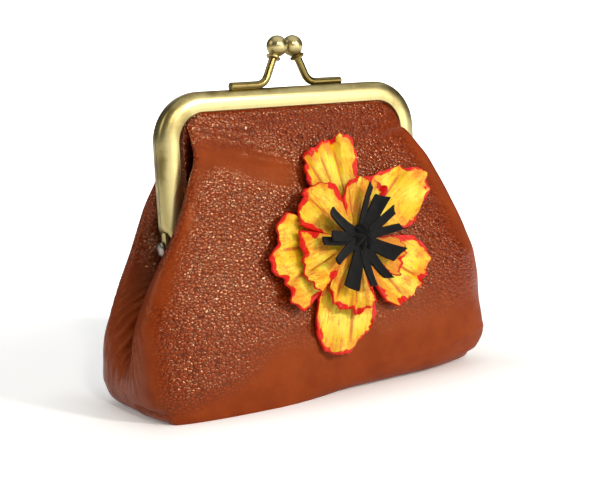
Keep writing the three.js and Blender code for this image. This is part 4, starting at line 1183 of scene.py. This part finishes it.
def petal_finish():
    """Hand-painted leather: yellow ground, dry-brushed orange along the petal, brown specks, red edge."""
    material, place = new_finish("painted_petal_leather")
    strokes_at = place.add("Attribute", {"attribute_name": "paint_place"}, output=1)
    from_edge = point_value(place, "from_edge")
    broad = place.noise(BROAD_SIZE, detail=3, roughness=0.6)
    brushed = strokes_at.scaled(BRUSHED["stretch"]).noise(BRUSHED["size"], detail=4, roughness=0.7)
    streak = strokes_at.scaled(STREAKS["stretch"]).noise(STREAKS["size"], detail=4, roughness=0.7)
    dry = place.noise(DRY_SIZE, detail=3, roughness=0.7)
    cloud = place.noise(PALE_CLOUD["size"])
    colour = cloud.ramp(PALE_CLOUD).blend(PETAL_YELLOW, PETAL_PALE)

    along = strokes_at.add("VectorMath", {"operation": "DOT_PRODUCT"}, output=1, _0=strokes_at, _1=(0, 1, 0))
    toward_edge = 1 - from_edge.between(0.0, NEAR_EDGE)
    # warm painted shade towards each petal's foot
    warm_foot_shade = 1 - along.ramp(FOOT_SHADE_TINT)
    stroke = broad * ORANGE["broad"] + brushed * ORANGE["brushed"] + dry * ORANGE["dry"]
    stroke = stroke + toward_edge * ORANGE["edge"] + warm_foot_shade * ORANGE["foot"]
    orange = stroke.ramp(ORANGE) * ORANGE["share"]
    colour = orange.blend(colour, PETAL_ORANGE)
    specks = (dry * SPECKS["dry"] + brushed * SPECKS["brushed"]).ramp(SPECKS)
    specks = specks * broad.between(SPECKS["bare"], SPECKS["covered"]) * SPECKS["share"]
    colour = specks.blend(colour, PETAL_SPECK)
    scuffed = place.noise(SCUFFS["size"], detail=3, roughness=0.6)
    scuffs = (streak * SCUFFS["streak"] + dry * SCUFFS["dry"]).ramp(SCUFFS)
    scuffs = scuffs * scuffed.between(SCUFFS["bare"], SCUFFS["covered"]) * SCUFFS["share"]
    colour = scuffs.blend(colour, PETAL_RUST)
    # Painted shade: the pleats' valleys are painted darker rust.
    painted_pleat_shade = point_value(place, "pleat") * (PLEAT_SHADE["even"] + dry * PLEAT_SHADE["dry"])
    painted_pleat_shade = painted_pleat_shade.ramp(PLEAT_SHADE) * PLEAT_SHADE["share"]
    colour = painted_pleat_shade.blend(colour, PETAL_RUST)
    uneven = place.noise(RED_BAND["size"], detail=3).ramp(RED_BAND)
    band = uneven * RED_BAND["width"] + brushed * RED_BAND["brushed"] - RED_BAND["back"]
    red = 1 - (from_edge - band).between(-RED_BAND["soft"], RED_BAND["soft"])
    colour = red.blend(colour, PETAL_RED)

    height = brushed * PAINT_HEIGHT["brushed"] + broad * PAINT_HEIGHT["broad"] + red * PAINT_HEIGHT["red"]
    height = height + dry * PAINT_HEIGHT["dry"] + streak * PAINT_HEIGHT["streak"]
    bump = place.add("Bump", Height=height, Strength=0.9, Distance=PAINT_HEIGHT["bump"])
    rough = PAINT_GLOSS["roughness"] + (broad - 0.5) * PAINT_GLOSS["broad"] - red * PAINT_GLOSS["red"]
    set_finish(material, Base_Color=colour, Roughness=rough, Normal=bump)
    set_finish(material, Specular_IOR_Level=PAINT_GLOSS["specular"])
    return material


petal_paint = petal_finish()
PETAL_LAYERS = [("outer_petals", OUTER_PETALS, OUTER_SEAT), ("inner_petals", INNER_PETALS, INNER_SEAT)]
for name, petals, seat in PETAL_LAYERS:
    layer = petal_layer(name + "_painted", petals, seat)
    sharpen(layer)
    layer.data.materials.append(petal_paint)
    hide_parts(name)
    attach(layer, "root")


# Stamens. A piece of black suede, cut into strips and pinched together in the flower's middle, with the
# strips bent up and spread over the inner petals.

# One row for each strip: its direction, length, width at the tip, rise, sideways bend and skew of its cut.
STAMENS = [
    dict(turn=78, length=18, tip=2.0, rise=4.4, bend=-0.6, skew=0.8),
    dict(turn=51, length=16, tip=4.6, rise=3.4, bend=0.5, skew=-0.5),
    dict(turn=27, length=14.5, tip=3.0, rise=4.4, bend=0.6, skew=0.4),
    dict(turn=10, length=15, tip=2.6, rise=3.0, bend=-0.4, skew=-0.4),
    dict(turn=-38, length=14, tip=5.2, rise=3.2, bend=0.3, skew=0.6),
    dict(turn=-80, length=16, tip=2.6, rise=3.6, bend=0.9, skew=0.5),
    dict(turn=-101, length=17.5, tip=3.0, rise=4.0, bend=0.5, skew=-0.3),
    dict(turn=-118, length=20, tip=4.4, rise=3.0, bend=-0.8, skew=0.5),
    dict(turn=-158, length=16.5, tip=2.8, rise=4.0, bend=0.6, skew=-0.5),
    dict(turn=-176, length=18, tip=3.0, rise=3.0, bend=-0.7, skew=0.6),
    dict(turn=172, length=15.5, tip=3.2, rise=5.0, bend=0.4, skew=-0.4),
    dict(turn=148, length=16.5, tip=5.0, rise=4.0, bend=-0.5, skew=0.7),
]
STRIP = dict(
    thick=1.1, foot=1.6, start=0.5, base=3.6, rows=16, columns=5, sway=2.2, cup=0.35, twist=1.1, apart=0.05
)
KNOT = dict(radius=4.4, height=5.4, sides=52, pleats=9, ripple=0.16, depth=0.5, lag=1.1, flat=0.5)
KNOT_PROFILE = [(1.0, 0.0), (1.02, 0.35), (0.9, 0.7), (0.62, 0.93), (0.3, 1.0), (0.01, 0.96)]


def stamen_strip(row, number):
    """One strip with its cut end, from the middle out over the petals."""
    along = np.linspace(0, 1, STRIP["rows"])
    share, side = np.meshgrid(along, np.linspace(-1, 1, STRIP["columns"]), indexing="ij")
    half = (STRIP["base"] + (row["tip"] - STRIP["base"]) * share) / 2
    reach = STRIP["start"] + (row["length"] - STRIP["start"]) * share + row["skew"] * side * share**3
    beside = side * half + row["bend"] * STRIP["sway"] * share**2
    cupped = STRIP["cup"] * side**2 * share * half
    twisted = STRIP["twist"] * row["skew"] * side * half * share
    seat = STAMEN_SEAT + STRIP["foot"] + STRIP["apart"] * number
    height = seat + row["rise"] * share**2 + cupped + twisted
    turn = math.radians(row["turn"])
    x = reach * math.cos(turn) - beside * math.sin(turn)
    y = reach * math.sin(turn) + beside * math.cos(turn)
    top = np.stack([x, y, height + STRIP["thick"]], -1).reshape(-1, 3)
    bottom = top - np.array([0, 0, STRIP["thick"]])
    rows, columns = share.shape
    count = rows * columns
    index = np.arange(count).reshape(rows, columns)
    loop = np.concatenate([index[:-1, 0], index[-1, :-1], index[:0:-1, -1], index[0, :0:-1], index[:1, 0]])
    faces = grid_faces(rows, columns, 0).tolist() + grid_faces(rows, columns, count, flip=True).tolist()
    faces += np.stack([loop[:-1], loop[1:], loop[1:] + count, loop[:-1] + count], -1).tolist()
    return np.concatenate([top, bottom]), faces


def pinched_middle():
    """The crumpled middle where the strips are drawn together."""
    profile = [(KNOT["radius"] * r, STAMEN_SEAT + KNOT["height"] * h) for r, h in KNOT_PROFILE]
    points, faces = turned(profile, KNOT["sides"])
    pleat = KNOT["pleats"] * np.arctan2(points[:, 1], points[:, 0])
    points[:, :2] *= (1 + KNOT["ripple"] * np.sin(pleat))[:, None]
    off_axis = np.hypot(points[:, 0], points[:, 1]) > KNOT["flat"]
    points[:, 2] += KNOT["depth"] * np.sin(pleat + KNOT["lag"]) * off_axis
    return points, faces


SUEDE_BLACK = (0.006, 0.0062, 0.007)
SUEDE_WORN = (0.012, 0.0124, 0.0134)
NAP = dict(size=0.4 * MM, depth=0.12 * MM, share=0.6, roughness=0.82, gloss=0.2)
RUBBED = dict(size=3 * MM, share=0.5, start=0.4, full=0.8)


def suede_finish():
    """Matt black suede with a soft nap."""
    material, place = new_finish("black_suede")
    nap = place.noise(NAP["size"], detail=4, roughness=0.7)
    worn = nap * NAP["share"] + place.noise(RUBBED["size"]) * RUBBED["share"]
    colour = worn.ramp(RUBBED).blend(SUEDE_BLACK, SUEDE_WORN)
    rough = NAP["roughness"] + (nap - 0.5) * NAP["gloss"]
    bump = place.add("Bump", Height=nap, Strength=0.5, Distance=NAP["depth"])
    set_finish(material, Base_Color=colour, Roughness=rough, Normal=bump)
    set_finish(material, Specular_IOR_Level=0.12, Sheen_Weight=0.03, Sheen_Roughness=0.5)
    return material


points, faces = joined([pinched_middle(), *[stamen_strip(row, i) for i, row in enumerate(STAMENS)]])
stamens = make_piece("stamens_suede", on_flower(points), faces)
sharpen(stamens)
stamens.data.materials.append(suede_finish())
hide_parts("stamens")
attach(stamens, "root")


# Stage. A plain white floor with a white wall far behind it, and light from small and large panels. The floor
# glows a little, less so at the purse's foot, which paints a thin shadow there, and fully far off. All sizes
# of this section are in metres.

FLOOR_HALF = 6.0
WALL_DISTANCE = 2.6
WALL_HALF = 1.2
WALL_RISE = 1.2
WHITE = (1, 1, 1)
FLOOR_WHITE = (0.93, 0.93, 0.93)
FLOOR_GLOW = (0.29, 0.30, 0.305)
UNDER_PURSE = (0.070, 0.028)  # half of the purse's foot, at which the floor glows less, painting a thin shadow
PAINTED_CONTACT_SHADOW = dict(start=-0.03, full=0.03)
FAR_FLOOR = dict(start=0.12, full=0.45)
CAMERA_YAW = math.radians(31.32)


def plain_panel(name, corners, finish):
    mesh = bpy.data.meshes.new(name)
    mesh.from_pydata(corners, [], [(0, 1, 2, 3)])
    panel = bpy.data.objects.new(name, mesh)
    bpy.context.scene.collection.objects.link(panel)
    mesh.materials.append(finish)


wall_white, _ = new_finish("white_wall")
set_finish(wall_white, Base_Color=WHITE, Roughness=1.0, Emission_Color=WHITE, Emission_Strength=1.0)
yaw_sin, yaw_cos = math.sin(CAMERA_YAW), math.cos(CAMERA_YAW)
level_right = Vector((yaw_cos, -yaw_sin, 0))
middle = Vector((yaw_sin, yaw_cos, 0)) * WALL_DISTANCE
left_foot = middle - level_right * WALL_HALF
right_foot = middle + level_right * WALL_HALF
rise = Vector((0, 0, WALL_RISE))
plain_panel("wall", [left_foot, right_foot, right_foot + rise, left_foot + rise], wall_white)
floor_white, floor_place = new_finish("white_floor")
far_off = floor_place.add("VectorMath", {"operation": "LENGTH"}, output=1, _0=floor_place)
beyond = floor_place.add("VectorMath", {"operation": "ABSOLUTE"}, _0=floor_place)
beyond = beyond.moved((-UNDER_PURSE[0], -UNDER_PURSE[1], 0))
beyond = beyond.add("VectorMath", {"operation": "MAXIMUM"}, _0=beyond, _1=(0, 0, 0))
from_foot = beyond.add("VectorMath", {"operation": "LENGTH"}, output=1, _0=beyond)
# Painted shadow: the floor's glow fades out at the purse's foot.
near_glow_with_painted_shadow = from_foot.ramp(PAINTED_CONTACT_SHADOW).blend((0, 0, 0), FLOOR_GLOW)
far_glow = far_off.ramp(FAR_FLOOR).blend(near_glow_with_painted_shadow, WHITE)
set_finish(floor_white, Base_Color=FLOOR_WHITE, Roughness=0.9, Specular_IOR_Level=0.1)
set_finish(floor_white, Emission_Color=far_glow, Emission_Strength=1.0)
floor_corners = [(FLOOR_HALF * x, FLOOR_HALF * y, 0) for x, y in ((-1, -1), (1, -1), (1, 1), (-1, 1))]
plain_panel("floor", floor_corners, floor_white)


WARM = (1.0, 0.93, 0.82)
PURSE_MIDDLE = (0, 0, 0.05)
PANELS = [
    dict(name="key_panel", place=(0.42, -1.3, 0.62), width=0.15, height=0.15, power=14),
    dict(name="glint_panel", place=(-0.30, -1.26, 0.80), width=0.11, height=0.11, power=6),
    dict(name="right_panel", place=(0.95, -1.45, 0.3), width=0.7, height=0.6, power=4),
    dict(name="left_panel", place=(-1.3, 0.5, 0.95), width=0.8, height=0.8, power=6),
]
CEILING = dict(name="ceiling_panel", place=(0.2, -0.1, 1.4), width=2.0, height=2.0, power=12)
SKY_STRENGTH = 0.06


def soft_panel(name, place, width, height, power, target=PURSE_MIDDLE, colour=WARM):
    """A rectangular soft light that faces a target, in metres and watts."""
    lamp = bpy.data.lights.new(name, "AREA")
    lamp.shape = "RECTANGLE"
    lamp.size = width
    lamp.size_y = height
    lamp.energy = power
    lamp.color = colour
    holder = bpy.data.objects.new(name, lamp)
    holder.location = place
    holder.rotation_euler = (Vector(target) - Vector(place)).to_track_quat("-Z", "Y").to_euler()
    bpy.context.scene.collection.objects.link(holder)


for panel in PANELS:
    soft_panel(**panel)
soft_panel(**CEILING, target=(0, 0, 0), colour=WHITE)

world = bpy.data.worlds.new("white_room")
world.use_nodes = True
sky = world.node_tree.nodes["Background"]
sky.inputs["Color"].default_value = (*WHITE, 1)
sky.inputs["Strength"].default_value = SKY_STRENGTH
bpy.context.scene.world = world
bpy.context.scene.view_settings.view_transform = "Standard"


# Camera, at the angle from which the purse was photographed: a little to its left and just above it. Its
# place and turn were fitted to the frame and the outline.

CAMERA_PLACE = (-239.13, -396.21, 109.89)
CAMERA_PITCH = math.radians(7.17)
CAMERA_ROLL = math.radians(-3.13)
CAMERA_LENS = 78
SENSOR_WIDTH = 36
NEAREST = 10

pitch_sin, pitch_cos = math.sin(CAMERA_PITCH), math.cos(CAMERA_PITCH)
ahead = Vector((yaw_sin * pitch_cos, yaw_cos * pitch_cos, -pitch_sin))
level_up = level_right.cross(ahead)
right = math.cos(CAMERA_ROLL) * level_right + math.sin(CAMERA_ROLL) * level_up
up = math.cos(CAMERA_ROLL) * level_up - math.sin(CAMERA_ROLL) * level_right
lens = bpy.data.cameras.new("photo_camera")
lens.lens = CAMERA_LENS
lens.sensor_width = SENSOR_WIDTH
lens.clip_start = NEAREST * MM
camera = bpy.data.objects.new("photo_camera", lens)
turn = Matrix((right, up, -ahead)).transposed().to_4x4()
camera.matrix_world = Matrix.Translation(Vector(CAMERA_PLACE) * MM) @ turn
bpy.context.scene.collection.objects.link(camera)
bpy.context.scene.camera = camera
